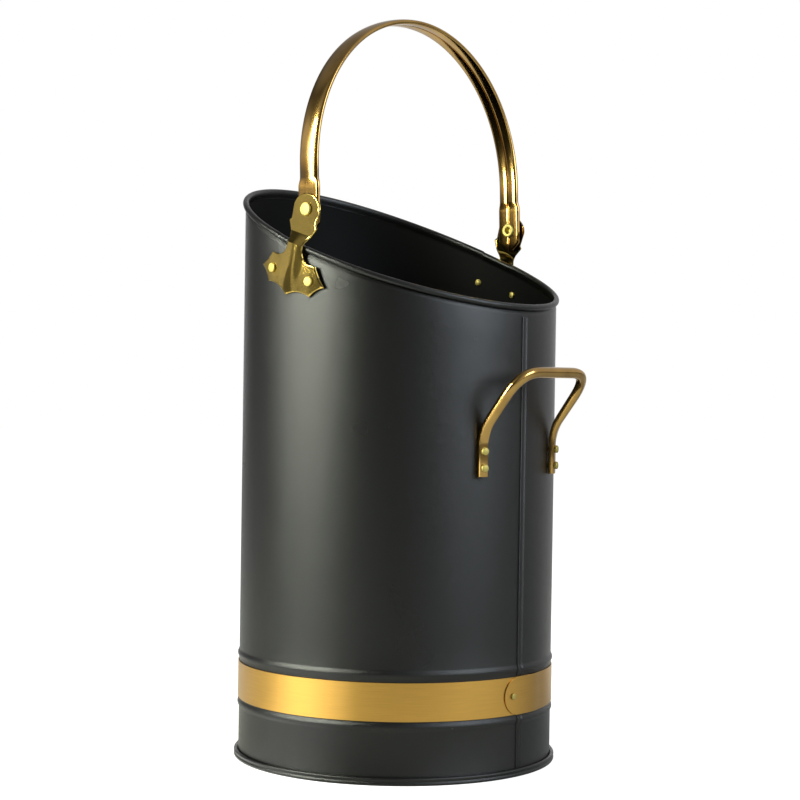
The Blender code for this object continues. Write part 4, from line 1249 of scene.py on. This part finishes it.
class HOD_OT_stage(Operator):
    """Set up the floor, the softboxes, the world and the camera"""

    bl_idname = "hod.stage"
    bl_label = "Studio"

    def execute(self, context):
        scene = context.scene
        scene.view_settings.view_transform = "Standard"
        self.floor(scene.hod_colours)
        self.world(scene)
        for softbox in SOFTBOXES:
            self.softbox(scene, *softbox)
        camera = bpy.data.cameras.new("camera")
        camera.lens = CAMERA_LENS
        stand = bpy.data.objects.new("camera", camera)
        stand.location = CAMERA_PLACE
        stand.rotation_euler = Euler([radians(turn) for turn in CAMERA_TURN])
        scene.collection.objects.link(stand)
        scene.camera = stand
        return {"FINISHED"}

    def floor(self, colours):
        """A plain floor: white to the camera, glowing here and there to gloss, with a shadow."""
        bpy.ops.object.select_all(action="DESELECT")
        bpy.ops.mesh.primitive_plane_add(size=FLOOR_SIZE)
        ground = bpy.context.active_object
        ground.name = "studio_floor"
        material, shader, place = new_finish("matt_studio_floor")
        seen = add_node(material, "LightPath")
        camera_ray, glossy_ray = seen.outputs["Is Camera Ray"], seen.outputs["Is Glossy Ray"]
        either = add_node(material, "Math", camera_ray, glossy_ray, operation="MAXIMUM")
        ray = add_node(material, "VectorMath", place, operation="NORMALIZE")
        facing = add_node(material, "VectorMath", ray, TOWARD_CAMERA, operation="DOT_PRODUCT")
        glow = add_node(material, "MapRange", facing, -0.985, -0.50, 0.42, 0.07)
        away = add_node(material, "VectorMath", place, operation="LENGTH")
        near = add_node(material, "MapRange", away, *FLOOR_GLOW_FADE, 1.0, 0.0,
                        interpolation_type="SMOOTHSTEP")
        for turn, start, full, strength, rise, fades in FLOOR_GLOWS:
            toward = (cos(radians(turn)), sin(radians(turn)), 0)
            share = add_node(material, "VectorMath", ray, toward, operation="DOT_PRODUCT")
            pool = add_node(material, "MapRange", share, start, full, 0.0, strength,
                            interpolation_type=rise)
            if fades:
                pool = add_node(material, "Math", pool, near, operation="MULTIPLY")
            glow = add_node(material, "Math", glow, pool, operation="MAXIMUM")
        far = add_node(material, "MapRange", away, 0.15, 0.9, 0.85, 1.0)
        shade = add_node(material, "Mix", camera_ray, glow, far, data_type="FLOAT")
        shown = add_node(material, "Math", either, shade, operation="MULTIPLY")
        fill_inputs(material, shader, Base_Color=colours.floor_matt, Roughness=0.9,
                    Specular_IOR_Level=0.0, Emission_Color=colours.floor, Emission_Strength=shown)
        ground.data.materials.append(material)

    def world(self, scene):
        """White backdrop behind the hod, a dim room in front of it."""
        world = bpy.data.worlds.new("studio")
        world.use_nodes = True
        scene.world = world
        seen = add_node(world, "LightPath")
        camera_ray, glossy_ray = seen.outputs["Is Camera Ray"], seen.outputs["Is Glossy Ray"]
        place = add_node(world, "TexCoord").outputs["Generated"]
        facing = add_node(world, "VectorMath", place, TOWARD_CAMERA, operation="DOT_PRODUCT")
        room = add_node(world, "MapRange", facing, -0.985, -0.86, 1.0, 0.05,
                        interpolation_type="SMOOTHSTEP")
        for turn, rise, start, full, outside, inside in ROOM_GLOWS:
            azimuth, rise = CAMERA_AZIMUTH - radians(turn), radians(rise)
            toward = (sin(azimuth) * cos(rise), -cos(azimuth) * cos(rise), sin(rise))
            share = add_node(world, "VectorMath", place, toward, operation="DOT_PRODUCT")
            glow = add_node(world, "MapRange", share, start, full, outside, inside,
                            interpolation_type="SMOOTHSTEP")
            room = add_node(world, "Math", room, glow, operation="MAXIMUM")
        clear = add_node(world, "Math", camera_ray, room, operation="MAXIMUM")
        shown = add_node(world, "Math", glossy_ray, seen.outputs["Is Transmission Ray"],
                         operation="MAXIMUM")
        shown = add_node(world, "Math", shown, camera_ray, operation="MAXIMUM")
        lit = add_node(world, "MapRange", shown, To_Min=0.35, To_Max=1.0)
        strength = add_node(world, "Math", clear, lit, operation="MULTIPLY")
        fill_inputs(world, world.node_tree.nodes["Background"], Color=scene.hod_colours.floor,
                    Strength=strength)

    def softbox(self, scene, name, turn, distance, height, width, tall, power, tint):
        """An upright area lamp that faces the hod."""
        lamp = bpy.data.lights.new(name, "AREA")
        lamp.shape = "RECTANGLE"
        lamp.size, lamp.size_y = width, tall
        lamp.energy = power
        lamp.color = linear(tint)
        holder = bpy.data.objects.new(name, lamp)
        azimuth = CAMERA_AZIMUTH - radians(turn)
        holder.location = (distance * sin(azimuth), -distance * cos(azimuth), height)
        aim = Vector((0, 0, height)) - holder.location
        holder.rotation_euler = aim.to_track_quat("-Z", "Y").to_euler()
        holder.visible_camera = False
        scene.collection.objects.link(holder)


class HOD_PT_panel(Panel):
    """Buttons and sizes of the log carrier"""

    bl_idname = "HOD_PT_panel"
    bl_label = "Log Carrier"
    bl_space_type = "VIEW_3D"
    bl_region_type = "UI"
    bl_category = "Log Carrier"

    def draw(self, context):
        layout = self.layout
        for operator in OPERATORS:
            layout.operator(operator.bl_idname)
        for name, group in GROUPS.items():
            box = layout.box()
            box.label(text=group.__doc__)
            for key in group.__annotations__:
                box.prop(getattr(context.scene, name), key)


GROUPS = {
    "hod_wall": HodWallSizes,
    "hod_foot": HodFootSizes,
    "hod_band": HodBandSizes,
    "hod_ear": HodEarSizes,
    "hod_bail": HodBailSizes,
    "hod_handle": HodHandleSizes,
    "hod_rivets": HodRivetSizes,
    "hod_colours": HodColours,
}
OPERATORS = (HOD_OT_stage, HOD_OT_wall, HOD_OT_seam, HOD_OT_base, HOD_OT_rim_wire, HOD_OT_band,
             HOD_OT_ears, HOD_OT_bail, HOD_OT_rear_handle, HOD_OT_rivets)


def register():
    """Register the classes and hang the groups of sizes on the scene."""
    for name, group in GROUPS.items():
        bpy.utils.register_class(group)
        setattr(bpy.types.Scene, name, PointerProperty(type=group))
    for kind in (*OPERATORS, HOD_PT_panel):
        bpy.utils.register_class(kind)


def unregister():
    """Take it all off again."""
    for kind in (HOD_PT_panel, *reversed(OPERATORS)):
        bpy.utils.unregister_class(kind)
    for name, group in GROUPS.items():
        delattr(bpy.types.Scene, name)
        bpy.utils.unregister_class(group)


def main():
    """Build the whole scene."""
    register()
    bpy.ops.hod.stage()
    bpy.ops.hod.wall()
    bpy.ops.hod.seam()
    bpy.ops.hod.base()
    bpy.ops.hod.rim_wire()
    bpy.ops.hod.band()
    bpy.ops.hod.ears()
    bpy.ops.hod.bail()
    bpy.ops.hod.rear_handle()
    bpy.ops.hod.rivets()


if __name__ == "__main__":
    main()
